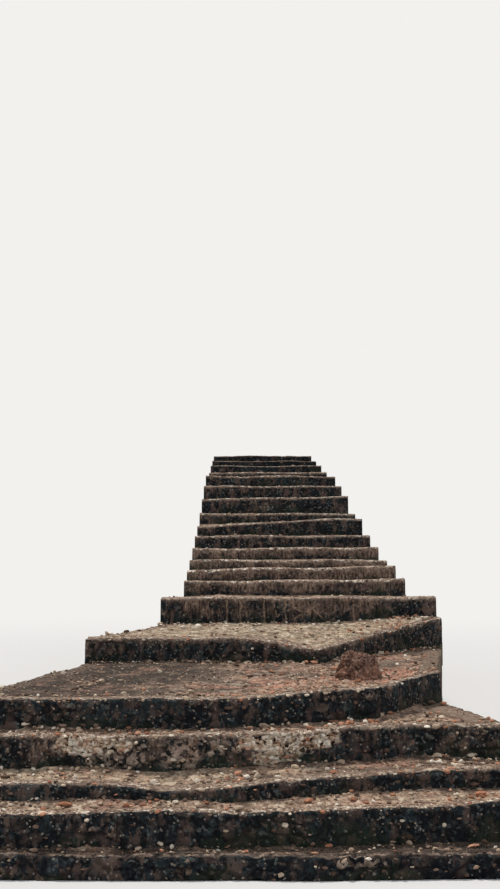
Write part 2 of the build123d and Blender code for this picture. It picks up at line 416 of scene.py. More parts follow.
@dataclass
class Kerb:
    """One kerb: a rough face, a worn round nosing and a flat top, carried along its front line."""

    number: int
    line: KerbLine
    make: Make
    wear: Wear
    hollows: tuple[Hollow, ...]
    along: float
    up: float
    deep: float = 0.018
    arc_rows: int = 5
    stone: tuple[float, float] = (0.165, 0.085)
    nut: tuple[float, float] = (0.050, 0.034)
    nose_reach: float = 0.040

    @property
    def node(self) -> str:
        """Name of the kerb's node."""
        return f"kerb_{self.number:02d}"

    def profile(self) -> tuple[Array, Array, Array, Array]:
        """Work out the bare kerb.

        Each cross-section goes up the leaning face, a quarter circle round the nosing, back over
        the top and down the back.

        Returns:
            Points as (along, round, 3), the distance along each cross-section from the nosing's
            middle, the share of the way up the face, and how far each row may move.
        """
        columns = max(8, round(self.line.length() / self.along))
        line = self.line.at(np.linspace(0, 1, columns + 1))
        radius = np.minimum(NOSING_RADIUS, NOSING_SHARE * (line.top - line.foot))
        face_rows = max(4, round(float((line.top - line.foot).max()) / self.up))
        top_rows = max(4, round(float((line.back - line.front).max()) / self.deep))
        rows: list[tuple[Array, Array]] = [(line.front, line.bottom)]
        for share in np.linspace(0, 1, face_rows + 1):
            rows.append((line.front + BATTER * share, line.foot + share * (line.top - radius - line.foot)))
        for angle in np.linspace(0, math.pi / 2, self.arc_rows + 1)[1:]:
            y = line.front + BATTER + radius * (1 - math.cos(angle))
            rows.append((y, line.top - radius * (1 - math.sin(angle))))
        nose_back = line.front + BATTER + radius
        for share in np.linspace(0, 1, top_rows + 1)[1:]:
            rows.append((nose_back + share * (line.back - nose_back), line.top))
        rows.append((line.back, line.bottom))
        y, z = (np.stack([row[axis] for row in rows], axis=1) for axis in (0, 1))
        points = np.stack([np.broadcast_to(line.x[:, None], y.shape), y, z], axis=-1)
        steps = np.hypot(np.diff(y, axis=1), np.diff(z, axis=1))
        walked = np.concatenate([np.zeros((len(y), 1)), np.cumsum(steps, axis=1)], axis=1)
        walked -= walked[:, [face_rows + 1 + (self.arc_rows + 1) // 2]]
        climb = np.clip((z - line.foot[:, None]) / (line.top - line.foot)[:, None], 0, 1)
        loose = np.ones(y.shape[1])
        loose[[0, -1]] = 0
        loose[-2] = 0.3
        return points, walked, climb, loose

    def hollowed(self, points: Array, climb: Array) -> tuple[Array, Array]:
        """Work out the broken places.

        A hollow is a bowl, deepest in its middle and 0 at a ragged edge.

        Args:
            points: The bare kerb's points.
            climb: The share of the way up the face.

        Returns:
            The depth at each point, and how far rubble is laid bare there, from 0 to 1.
        """
        depth, bare = np.zeros(climb.shape), np.zeros(climb.shape)
        ragged = layered(points, 0.15, 70 + self.number, 4)
        for hollow in self.hollows:
            across = np.abs(points[..., 0] - hollow.x) / (hollow.width / 2)
            middle, reach = (hollow.low + hollow.high) / 2, (hollow.high - hollow.low) / 2
            away = np.sqrt(across**2 + ((climb - middle) / reach) ** 2 * 0.6) + 0.75 * ragged
            depth = np.maximum(depth, hollow.depth * soft_step(1.1 - away, 0, 0.8))
            bare = np.maximum(bare, hollow.bare * soft_step(1.1 - away, 0, 0.55))
        return depth, bare

    def surface(self) -> tuple[Array, dict[str, Array]]:
        """Work out the weathered kerb.

        The bare surface moves along its own normal by slow waves, lumps the size of a fist, domes
        the size of a nut, the joints of the rubble where it shows, and bites out of the nosing.

        Returns:
            The points, and the named values that the finish reads.
        """
        points, walked, climb, loose = self.profile()
        x, y = points[..., 0], points[..., 1]
        run = np.gradient(points[..., 1:], axis=1)
        size = np.maximum(np.linalg.norm(run, axis=-1), 1e-9)
        out_y, out_z = -run[..., 1] / size, run[..., 0] / size
        plan = np.hypot(np.gradient(x[:, 0]), np.gradient(y[:, 0]))
        along = np.cumsum(plan)[:, None] + np.zeros_like(x)
        bend = 0.045 * noise(points, 0.13, 5 + self.number)
        gap, tint = rubble(along + bend, walked + bend + self.number, self.stone, self.number)
        warp = 0.4 * bend + 0.016 * noise(points, 0.035, 9)
        fine_gap, fine = rubble(along + warp, walked - warp, self.nut, 60 + self.number)
        shown = soft_step(layered(points, 0.42, 11 + self.number) + self.make.shown, -0.05, 0.6)
        depth, bare = self.hollowed(points, climb)
        joint = 1 - soft_step(gap, 0.02, 0.30)
        nose = np.exp(-((walked / self.nose_reach) ** 2))
        bite = soft_step(layered(points, 0.11, 31 + self.number, 2), 0.12, 0.7)
        nick = soft_step(layered(points, 0.034, 37 + self.number, 2), 0.1, 0.7)
        rough = soft_step(layered(points, 0.24, 83 + self.number), -0.5, 0.4)
        lumps, nubs = layered(points, 0.090, 23, 4), soft_step(fine_gap, 0.0, 0.55) * (0.35 + fine) - 0.5
        relief = 0.0060 * noise(points, 0.33, 17 + self.number) + 0.0080 * lumps
        relief += (0.0010 + 0.0050 * rough + 0.011 * bare) * nubs
        relief -= shown * self.make.relief * (joint - 0.7 * (tint - 0.5)) * (1 - 0.7 * nose)
        relief -= (bite + 0.45 * nick) * nose * self.make.bites
        relief = relief * loose
        points = points.copy()
        points[..., 1] += out_y * relief + depth * np.abs(out_y) * loose
        points[..., 2] += out_z * relief
        wear, ragged = self.wear, walked + 0.013 * layered(points, 0.07, 43 + self.number, 3)
        back = max(wear.band, 0.0)
        # The pale band on the nosing is worn paleness and partly a painted highlight of the sunlit nosing;
        # its strength per kerb also dims it on the kerbs that lie in shade.
        light = soft_step(ragged, wear.band - 0.003, wear.band + 0.009)
        light *= 1 - 0.6 * soft_step(walked, back + 0.025, back + 0.09)
        light = wear.worn * light * (1 - 0.85 * bite * nose) * (1 - 0.75 * nick * nose)
        drips = layered(points * np.array([1, 1, 0.25]), 0.06, 47 + self.number, 3)
        dusted = soft_step(walked - back + 0.5 * wear.dust * drips, -1.5 * wear.dust, -0.3 * wear.dust)
        low = soft_step(climb + 0.2 * drips, 0.45, 0.0)
        values = {
            # Painted shade in the recesses between lumps, less where rubble lies bare.
            "cavity": soft_step(-lumps - rough * 0.5 * nubs, -0.25, 0.55) * (1 - 0.75 * bare),
            # Below 1 the tread is painted near-black: painted shade on the kerbs that lie in shade.
            "clean": np.full(x.shape, min(1.05 * wear.worn, 1.0)),
            # Dampness, partly painted shade: it grows towards the right, where the lower kerbs lie in shade,
            # and towards the foot of the face, and is less under the dust.
            "damp": wear.damp + 0.3 * abs(wear.damp) * soft_step(x, 0.1, 1.1) + 0.5 * low - 0.3 * dusted,
            "dusted": dusted,
            "light": light,
            "tread": soft_step(walked, back + 0.01, back + 0.05),
            "crack": 1 - soft_step(fine_gap, 0.0, 0.26),
            "joint": joint * shown * (1 - 0.8 * bare),
            "shown": shown,
            "bare": bare,
            "climb": climb,
        }
        return points, values

    def build(self, material: bpy.types.Material) -> None:
        """Make the kerb's closed mesh and put it in place of its node.

        Args:
            material: Its finish.
        """
        points, values = self.surface()
        surface = Surface()
        surface.add_tube(points, **values)
        surface.make(f"old_{self.node}", "kerb_masonry", material, [self.node])


@dataclass(frozen=True)
class Tone:
    """Colour of a bed: how pale, rosy and dark it is, where dark is partly painted shade on the shaded beds.

    Some lose a share of the pale to the right, some are darker at the left by a share, and some
    have a blush at the right of their edge.
    """

    pale: float = 0.3
    rosy: float = 0.3
    dark: float = 0.2
    fades: float = 0.0
    blush: float = 0.0
    shaded: float = 0.0


@dataclass
class Bed:
    """One packed bed, between the back of its kerb and the foot of the next one."""

    number: int
    near: KerbLine
    far: KerbLine
    far_height: Array
    tone: Tone
    fineness: float = 0.018
    tuck: float = 0.022
    edge_reach: float = 0.05
    drift_reach: float = 0.06

    @property
    def drift(self) -> float:
        """How high earth and chips lie against the next kerb: more on the broad lower steps."""
        return 0.036 if self.number <= 4 else 0.016

    @property
    def node(self) -> str:
        """Name of the bed's node."""
        return f"tread_{self.number:02d}"

    def place(self, across: Array, back: Array) -> Array:
        """Find points on the bed.

        A point lies on the straight line from the near edge to the far edge, lowered by a sag of
        4t(1 - t), and then moved up and down by packed waves and grit.

        Args:
            across: Share of the way from left to right.
            back: Share of the way from front to back.

        Returns:
            The points, as (..., 3).
        """
        near, far = self.near.at(across), self.far.at(across)
        far_height = np.interp(far.x, self.far.x, self.far_height)
        x = near.x + back * (far.x - near.x)
        y = near.back + back * (far.front + self.tuck - near.back)
        z = near.top - BED_LIP + back * (far_height - near.top + BED_LIP)
        z = z - BED_SAG * 4 * back * (1 - back)
        depth = np.maximum(far.front - near.back, 0.01)
        edge = np.minimum(1, np.minimum(back, 1 - back) * depth / self.edge_reach)
        waves, grit = packed(x, y)
        banked = 0.35 + 0.65 * soft_step(layered(np.stack([x, y, 0 * x], axis=-1), 0.3, 15), -0.5, 0.5)
        drift = self.drift * np.exp(-((1 - back) * depth / self.drift_reach)) * banked
        return np.stack([x, y, z + edge * waves + grit + drift], axis=-1)

    def size(self) -> tuple[float, float]:
        """Mean width and depth of the bed."""
        width = float(self.near.x[-1] - self.near.x[0] + self.far.x[-1] - self.far.x[0]) / 2
        return width, float(np.mean(self.far.front - self.near.back))

    def build(self, material: bpy.types.Material) -> None:
        """Make the bed's closed mesh, a grid with upright sides, and put it in place of its node.

        Args:
            material: Its finish.
        """
        deepest = float((self.far.front - self.near.back).max())
        columns, rows = round(self.size()[0] / self.fineness), max(3, round(deepest / self.fineness))
        shares = (np.linspace(0, 1, count + 1) for count in (columns, rows))
        across, back = np.meshgrid(*shares, indexing="ij")
        points = self.place(across, back)
        number = np.arange(across.size).reshape(across.shape)
        rim = np.concatenate((number[:-1, 0], number[-1, :-1], number[:0:-1, -1], number[0, :0:-1]))
        under = points.reshape(-1, 3)[rim].copy()
        under[:, 2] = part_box(self.node)[0][2]
        low = number.size + np.arange(len(rim))
        sides = np.stack((low, np.roll(low, -1), np.roll(rim, -1), rim), axis=-1)
        tone = self.tone
        kept = 1 - tone.fades * soft_step(across, 0.25, 0.7)
        blush = tone.blush * soft_step(across, 0.50, 0.66) * soft_step(back, 0.60, 0.25)
        dark = tone.dark * (1 - 0.4 * np.minimum(blush, 1)) + 1.2 * (1 - kept)
        values = {
            # Distance from the next kerb's foot, where the finish paints shade in the crease.
            "behind": (1 - back) * deepest,
            "pale": tone.pale * kept,
            "rosy": tone.rosy + tone.pale * (1 - kept) * 0.6 + blush,
            "dark": dark * (1 + tone.shaded * soft_step(across, 0.46, 0.22)),
        }
        values = {name: np.append(value.reshape(-1), np.zeros(len(rim))) for name, value in values.items()}
        every = np.concatenate((points.reshape(-1, 3), under))
        surface = Surface()
        surface.add(every, np.concatenate((grid_quads(number), sides)), [low[::-1]], **values)
        surface.make(f"packed_{self.node}", "packed_bed", material, [self.node])


# Beds 1 and 19 to 21 are dark partly as painted shade, for they lie in shade.
TONES = {
    1: Tone(0.0, 0.2, 1.9),
    2: Tone(0.45, 0.9, 0.4),
    3: Tone(1.0, 0.4, 0.2, fades=0.8),
    4: Tone(0.3, 0.8, 0.8),
    5: Tone(0.0, 0.9, 1.0, blush=1.3, shaded=1.05),
    6: Tone(1.0, 0.0, 0.2),
    19: Tone(0.1, 0.2, 0.8),
    20: Tone(0.0, 0.2, 1.1),
    21: Tone(0.0, 0.2, 1.2),
}


def read_steps() -> tuple[list[KerbLine], list[Bed], list[Bed]]:
    """Read every kerb's lines from the frame and set the beds between them.

    Returns:
        The kerbs' lines, the beds, and the beds with the side walls' tops, from the bottom up.
    """
    lines = [KerbLine.read(f"kerb_{number:02d}") for number in range(1, STEP_COUNT + 1)]
    beds, whole = [], []
    for number, line in enumerate(lines, start=1):
        if number < STEP_COUNT:
            far, height = lines[number], lines[number].foot
        else:
            low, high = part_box("back_wall")
            flat = np.full(len(line.x), low[1])
            far = KerbLine(line.x, flat, flat, line.bottom, line.foot, line.top)
            height = np.full(len(line.x), high[2])
        tone = TONES.get(number, Tone())
        whole.append(Bed(number, line, far, height, tone))
        beds.append(whole[0] if number == 1 else Bed(number, line.inner(), far.inner(), height[1:-1], tone))
    return lines, beds, whole


@dataclass
class WallRun:
    """A stretch of wall: a rectangle's outer face, top and inner face, carried from start to end."""

    outer: Sequence[Array]
    inner: Sequence[Array]
    heights: tuple[float, float]
    turned: bool
    dark: float = 0.2
    gravelled: bool = True
    fineness: float = 0.034
    top_rows: int = 7
    stone: tuple[float, float] = (0.27, 0.145)

    def add_to(self, surface: Surface, seed: int) -> None:
        """Lay the stretch in rubble and add it to a wall's surface.

        The outer face moves inwards, most at the joints and a little by each stone. The top lies
        as packed gravel does.

        Args:
            surface: The wall in the making.
            seed: Which rubble to lay.
        """
        start, end, inner_start, inner_end = (np.append(point, 0.0) for point in (*self.outer, *self.inner))
        columns = max(2, round(float(np.linalg.norm(end - start)) / self.fineness))
        rows = max(2, round(max(self.heights) / self.fineness))
        share = np.linspace(0, 1, columns + 1)[:, None]
        height = self.heights[0] + share * (self.heights[1] - self.heights[0])
        outer_line = start + share * (end - start)
        inner_line = inner_start + share * (inner_end - inner_start)
        up = np.concatenate((np.linspace(0, 1, rows + 1), np.ones(self.top_rows), [0.0]))
        cross = np.concatenate((np.zeros(rows + 1), np.linspace(0, 1, self.top_rows + 1)[1:], [1.0]))
        inwards = (inner_line - outer_line)[:, None, :]
        points = outer_line[:, None, :] + cross[None, :, None] * inwards
        points[..., 2] = height * up[None, :]
        inwards = inwards / np.linalg.norm(inwards, axis=-1, keepdims=True)
        walked = points[..., 1] + points[..., 0] * 0.7 + cross[None, :] * 0.2
        bend = 0.05 * noise(points, 0.22, seed)
        gap, tint = rubble(walked + bend, points[..., 2] + cross[None, :] * 0.2 + bend, self.stone, seed)
        joint = 1 - soft_step(gap, 0.03, 0.24)
        sunk = 0.018 * joint + 0.010 * tint + 0.005 * (1 + layered(points, 0.06, seed + 5))
        on_face, on_top = (cross < 0.5) & (up > 0), (up > 0.999) & self.gravelled
        points = points + inwards * (sunk * on_face)[..., None]
        waves, grit = packed(points[..., 0], points[..., 1])
        sag = BED_SAG * 4 * share * (1 - share)
        points[..., 2] += on_top * (waves + grit - sag - 0.004 * (cross < 0.5))
        top = (cross > 0) & (up > 0.5)
        surface.add_tube(points, self.turned, tint=tint, joint=joint, top=top, dark=np.array(self.dark))


@dataclass
class SideWall:
    """One side wall: two stretches for each step, one beside its bed and one under the next kerb."""

    name: str
    side: int
    seed: int
    lines: list[KerbLine]

    def build(self, material: bpy.types.Material) -> None:
        """Make the wall and put it in place of its node.

        Args:
            material: Its finish.
        """
        surface, left = Surface(), self.side < 0
        ends = [0, 1] if left else [-1, -2]
        outer = ends[0]
        low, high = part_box("back_wall")
        for index in range(1, STEP_COUNT):
            line, tone, runs = self.lines[index], TONES.get(index + 1, Tone()), []
            if index + 1 == STEP_COUNT:
                far, far_top = np.stack((line.x[ends], [low[1]] * 2), axis=1), high[2]
            else:
                after = self.lines[index + 1]
                far, under = (np.stack((after.x[ends], y[ends]), axis=1) for y in (after.front, after.back))
                far_top, step_foot = after.foot[outer], after.bottom[outer]
                runs.append(WallRun(*zip(far, under), (step_foot, step_foot), left, gravelled=False))
            near = np.stack((line.x[ends], line.back[ends]), axis=1)
            # The wall's top takes its bed's dark tone, painted shade included.
            dark = tone.dark * (1 + tone.shaded * left)
            runs.append(WallRun(*zip(near, far), (line.top[outer] - BED_LIP, far_top), left, dark))
            for run in runs:
                run.add_to(surface, self.seed)
        surface.make(f"rubble_{self.name}", "wall_masonry", material, [self.name])


@dataclass
class BackWall:
    """The wall behind the top landing, whose outer face looks uphill and whose ends show stones too."""

    seed: int = 91
    corner: float = 0.060

    def build(self, material: bpy.types.Material) -> None:
        """Make the wall and put it in place of its node.

        Args:
            material: Its finish.
        """
        (x_low, y_low, _), (x_high, y_high, top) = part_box("back_wall")
        left, right = x_low + self.corner, x_high - self.corner
        surface = Surface()
        for starts, ends, turned, top_rows in (
            (((left, y_high), (right, y_high)), ((left, y_low), (right, y_low)), True, 9),
            (((x_low, y_low), (x_low, y_high)), ((left, y_low), (left, y_high)), True, 2),
            (((x_high, y_low), (x_high, y_high)), ((right, y_low), (right, y_high)), False, 2),
        ):
            run = WallRun(np.array(starts), np.array(ends), (top, top), turned, top_rows=top_rows)
            run.add_to(surface, self.seed)
        surface.make("rubble_back_wall", "wall_masonry", material, ["back_wall"])


@dataclass
class FallenBlock:
    """The lump of fallen masonry on the lower landing: a rough ball, flattened where it lies."""

    rings: int = 60
    turns: int = 96
    planes: int = 7
    pole: float = 0.02
    seed: int = 19

    def build(self, material: bpy.types.Material) -> None:
        """Make the lump and put it in place of its node.

        A ball is roughened along its radius by layered noise, cut by planes that lie at random and
        stretched to its node's box. What lies under the bed is lifted to it.

        Args:
            material: Its finish.
        """
        low, high = (np.array(corner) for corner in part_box("fallen_block"))
        middle = (low + high) / 2
        middle[2] = low[2] + 0.1 * (high[2] - low[2])
        half = (high - low) / 2
        half[2] = high[2] - middle[2]
        tilts = np.linspace(self.pole, math.pi - self.pole, self.rings)
        turns = np.linspace(0, 2 * math.pi, self.turns, endpoint=False)
        tilt, turn = np.meshgrid(tilts, turns, indexing="ij")
        ball = np.stack((np.sin(tilt) * np.cos(turn), np.sin(tilt) * np.sin(turn), np.cos(tilt)), axis=-1)
        rough = 1.0 + 0.30 * layered(ball, 0.9, 41) + 0.26 * layered(ball, 0.34, 47, 5)
        solid = ball * rough[..., None]
        rng = np.random.default_rng(self.seed)
        for _ in range(self.planes):
            plane = rng.normal(size=3)
            plane /= np.linalg.norm(plane)
            beyond = np.maximum(0, solid @ plane - rng.uniform(0.75, 0.95))
            solid = solid - 0.6 * beyond[..., None] * plane
        points = middle + solid / np.abs(solid).max(axis=(0, 1)) * half
        points[..., 2] = np.maximum(points[..., 2], low[2] - 0.004)
        pit = soft_step(-layered(points, 0.05, 57), 0.0, 0.5)
        surface = Surface()
        surface.add_tube(points, tint=0.45 + 0.9 * layered(points, 0.12, 53, 4), pit=pit)
        surface.make("weathered_fallen_block", "kerb_masonry", material, ["fallen_block"])


def pebble_shapes(count: int, seed: int, halvings: int, planes: int = 6) -> tuple[Array, Array]:
    """Make a few broken stones: balls that are cut flat by several random planes each.

    A twenty-faced ball has its edges halved as often as asked. What lies beyond a plane moves
    straight back to it.

    Args:
        count: How many shapes.
        seed: Which random numbers to use.
        halvings: How often the edges are halved, each time with four faces for one.
        planes: How many planes cut each.

    Returns:
        Points as (count, corners, 3), and the faces as (faces, 3).
    """
    golden = (1 + math.sqrt(5)) / 2
    base = [(side, up * golden, 0) for side in (-1, 1) for up in (-1, 1)]
    corners = np.array(base + [(0, a, b) for a, b, _ in base] + [(b, 0, a) for a, b, _ in base], dtype=float)
    corners /= np.linalg.norm(corners, axis=1, keepdims=True)
    gaps = np.linalg.norm(corners[:, None] - corners[None], axis=-1)
    near = (gaps > 0.1) & (gaps < 1.2)
    faces = []
    for a, b, c in combinations(range(12), 3):
        if near[a, b] and near[b, c] and near[a, c]:
            outward = np.cross(corners[b] - corners[a], corners[c] - corners[a]) @ corners[a] > 0
            faces.append((a, b, c) if outward else (a, c, b))
    for _ in range(halvings):
        listed, middles, finer = list(corners), {}, []
        for a, b, c in faces:
            ends = ((a, b), (b, c), (c, a))
            for pair in ends:
                key = tuple(sorted(pair))
                if key not in middles:
                    middle = listed[pair[0]] + listed[pair[1]]
                    middles[key] = len(listed)
                    listed.append(middle / np.linalg.norm(middle))
            ab, bc, ca = (middles[tuple(sorted(pair))] for pair in ends)
            finer += [(a, ab, ca), (ab, b, bc), (ca, bc, c), (ab, bc, ca)]
        corners, faces = np.array(listed), finer
    rng = np.random.default_rng(seed)
    shapes = corners[None] * rng.uniform(0.86, 1.16, (count, len(corners), 1))
    for _ in range(planes):
        plane = rng.normal(size=(count, 1, 3))
        plane /= np.linalg.norm(plane, axis=-1, keepdims=True)
        beyond = (shapes * plane).sum(-1, keepdims=True) - rng.uniform(0.55, 0.9, (count, 1, 1))
        shapes = shapes - np.maximum(0, beyond) * plane
    return shapes, np.array(faces)


class Chip(Enum):
    """Kinds of loose pieces: mean half-size, flatness, the span of tints they take, and detail."""

    GRIT = (0.0070, 0.65, 0.15, 0.66, 0)
    CREAM = (0.0055, 0.50, 0.45, 0.78, 0)
    STONE = (0.0125, 0.62, 0.08, 0.64, 0)
    DARK = (0.0150, 0.75, 0.00, 0.36, 0)
    PALE = (0.0125, 0.75, 0.50, 0.78, 1)
    TILE = (0.0160, 0.60, 0.80, 1.00, 0)
    WHITE = (0.0230, 0.60, 0.70, 0.79, 1)

    def __init__(self, mean: float, flatness: float, low_tint: float, high_tint: float, detail: int) -> None:
        """Keep what belongs to one kind.

        Args:
            mean: The mean half-size.
            flatness: The height against it.
            low_tint: The lowest tint.
            high_tint: The highest tint.
            detail: How often the ball's edges are halved.
        """
        self.mean = mean
        self.flatness = flatness
        self.low_tint = low_tint
        self.high_tint = high_tint
        self.detail = detail


@dataclass(frozen=True)
class Strewing:
    """How one kind of chip is strewn over beds."""

    chip: Chip
    per_square_metre: float
    clustered: float
    to_right: float = 0.0
    to_edge: float = 0.2

    def seats(self, rng: np.random.Generator, bed: Bed) -> Array:
        """Pick where the chips of one bed lie.

        Places are drawn evenly, then some are pulled towards the bed's front or back edge. Each is
        kept by chance: more likely inside a cluster, and by the power of 3r of its doubled share of
        the way to the right, where r is the pull to the right.

        Args:
            rng: The random numbers to use.
            bed: The bed.

        Returns:
            The chips' seats, as (count, 3).
        """
        width, depth = bed.size()
        count = int(rng.poisson(2.5 * self.per_square_metre * width * depth))
        across, back = rng.uniform(0.01, 0.99, count), rng.uniform(0, 1, count)
        reach = np.minimum(1, 0.12 / depth) * rng.random(count) ** 1.5
        edge = np.where(rng.random(count) < 0.45, reach, 1 - reach)
        back = np.where(rng.random(count) < self.to_edge, edge, back)
        seats = bed.place(across, np.clip(back, 0.02, 0.985))
        inside = soft_step(layered(seats, 0.22, 140 + round(1000 * self.chip.mean)), -0.05, 0.45)
        gathered = np.minimum((2 * across) ** (3 * self.to_right), 2.5)
        kept = (1 - self.clustered + 2.2 * self.clustered * inside) * gathered
        return seats[rng.random(count) < 0.4 * kept]


@dataclass
class Pebbles:
    """Loose pieces of stone and tile, joined into one mesh."""

    name: str
    slot: str
    seed: int
    strays: float = 0.012
    inset: float = 0.004
    margin: int = 3
    variety: int = 9
    surface: Surface = field(default_factory=Surface)

    def __post_init__(self) -> None:
        """Prepare the shapes and the random numbers."""
        self.rng = np.random.default_rng(self.seed)
        self.shapes = [pebble_shapes(self.variety, self.seed, detail) for detail in (0, 1)]

    def lay(self, chip: Chip, seats: Array, sunk: float = 0.45, scale: float = 1.0) -> None:
        """Lay chips of one kind, turned and stretched at random, each sunk a little into its seat.

        A chip's points are a pebble's points, stretched, tilted about X, turned about Z and moved
        to its seat.

        Args:
            chip: The kind of chip.
            seats: Where they lie, as (count, 3).
            sunk: How much of the half-height is below the seat.
            scale: How large they are against their kind.
        """
        count, rng = len(seats), self.rng
        if count == 0:
            return
        shapes, faces = self.shapes[chip.detail]
        size = scale * chip.mean * np.exp(np.clip(rng.normal(0, 0.40, count), -0.9, 0.7))
        spans = ((0.8, 1.7, 1.0), (0.6, 1.1, 1.0), (0.6, 1.2, chip.flatness))
        stretch = np.stack([rng.uniform(low, high, count) * share for low, high, share in spans], axis=-1)
        stretch *= size[:, None]
        points = shapes[rng.integers(0, len(shapes), count)] * stretch[:, None, :]
        tilt = rng.normal(0, 0.25, count)[:, None]
        lifted = points[..., 1] * np.sin(tilt) + points[..., 2] * np.cos(tilt)
        flat = points[..., 1] * np.cos(tilt) - points[..., 2] * np.sin(tilt)
        turn = rng.uniform(0, 2 * math.pi, count)[:, None]
        x = points[..., 0] * np.cos(turn) - flat * np.sin(turn)
        y = points[..., 0] * np.sin(turn) + flat * np.cos(turn)
        points = np.stack((x, y, lifted + stretch[:, 2:3] * (1 - sunk)), axis=-1) + seats[:, None, :]
        shift = shapes.shape[1] * np.arange(count)[:, None, None]
        tint = rng.uniform(chip.low_tint, chip.high_tint, count)[:, None]
        self.surface.add(points, (faces[None] + shift).reshape(-1, 3), tint=tint)

    def strew(self, beds: Sequence[Bed], strewings: Sequence[Strewing]) -> None:
        """Strew every kind of chip over a stretch of beds.

        Args:
            beds: The beds.
            strewings: How each kind is strewn.
        """
        for bed in beds:
            for strewing in strewings:
                self.lay(strewing.chip, strewing.seats(self.rng, bed))

    def inside(self, shown: Array) -> Array:
        """Find the marked places of a kerb's grid, away from its ends.

        Args:
            shown: Which places are marked.

        Returns:
            Their rows and columns, as (count, 2).
        """
        shown[: self.margin] = shown[-self.margin :] = False
        return np.argwhere(shown)

    def fill(self, kerb: Kerb, per_square_metre: float, mixture: dict[Chip, float]) -> None:
        """Set stones in a kerb's face: pale ones mostly where it is broken, and dark ones elsewhere.

        Args:
            kerb: The kerb.
            per_square_metre: How many stones there are where the rubble lies bare.
            mixture: The share of each kind.
        """
        points, values = kerb.surface()
        face = self.inside((values["tread"] < 0.3) & (values["climb"] > 0.04) & (values["climb"] < 0.97))
        bare = values["bare"][face[:, 0], face[:, 1]]
        cell = kerb.along * kerb.up
        for chip, share in mixture.items():
            crowd = 1 - bare if chip is Chip.DARK else bare**1.5 + self.strays
            chosen = face[self.rng.random(len(face)) < per_square_metre * share * cell * crowd]
            seats = points[chosen[:, 0], chosen[:, 1]] + self.rng.uniform(-0.006, 0.006, (len(chosen), 3))
            self.lay(chip, seats + np.array([0, self.inset, 0]), sunk=1.0, scale=0.85)

    def edge(self, kerb: Kerb, per_metre: float, mixture: dict[Chip, float]) -> None:
        """Set stones along a kerb's worn nosing.

        Args:
            kerb: The kerb.
            per_metre: How many stones there are in a metre of it.
            mixture: The share of each kind.
        """
        points, values = kerb.surface()
        nosing = self.inside((values["climb"] > 0.93) & (values["tread"] < 0.6))
        for chip, share in mixture.items():
            count = self.rng.poisson(per_metre * share * kerb.line.length())
            chosen = nosing[self.rng.integers(0, len(nosing), count)]
            self.lay(chip, points[chosen[:, 0], chosen[:, 1]], sunk=0.9, scale=0.8)

    def build(self, material: bpy.types.Material) -> None:
        """Make the mesh."""
        self.surface.make(self.name, self.slot, material)


class Wire:
    """One output of a node, which adds, subtracts, multiplies and divides as a number does."""

    def __init__(self, wiring: "Wiring", node: bpy.types.Node, output: str | int = 0) -> None:
        """Keep the node and its output.

        Args:
            wiring: The tree that the node is in.
            node: The node.
            output: Which of its outputs this is.
        """
        self.wiring = wiring
        self.node = node
        self.output = output

    def __getitem__(self, output: str | int) -> "Wire":
        """Another output of the same node."""
        return Wire(self.wiring, self.node, output)

    def __add__(self, other: "Value") -> "Wire":
        """This value and another."""
        return self.wiring.math("ADD", self, other)

    def __sub__(self, other: "Value") -> "Wire":
        """This value less another."""
        return self.wiring.math("SUBTRACT", self, other)

    def __rsub__(self, other: "Value") -> "Wire":
        """Another value less this one."""
        return self.wiring.math("SUBTRACT", other, self)

    def __mul__(self, other: "Value") -> "Wire":
        """This value times another."""
        return self.wiring.math("MULTIPLY", self, other)

    def __truediv__(self, other: "Value") -> "Wire":
        """This value over another."""
        return self.wiring.math("DIVIDE", self, other)

    def clamped(self) -> "Wire":
        """The same value, held between 0 and 1 by its own node."""
        self.node.use_clamp = True
        return self


# What an input takes: a wire, a number, a vector, a linear colour or a six-digit screen colour.
Value = Wire | float | str | tuple[float, ...]


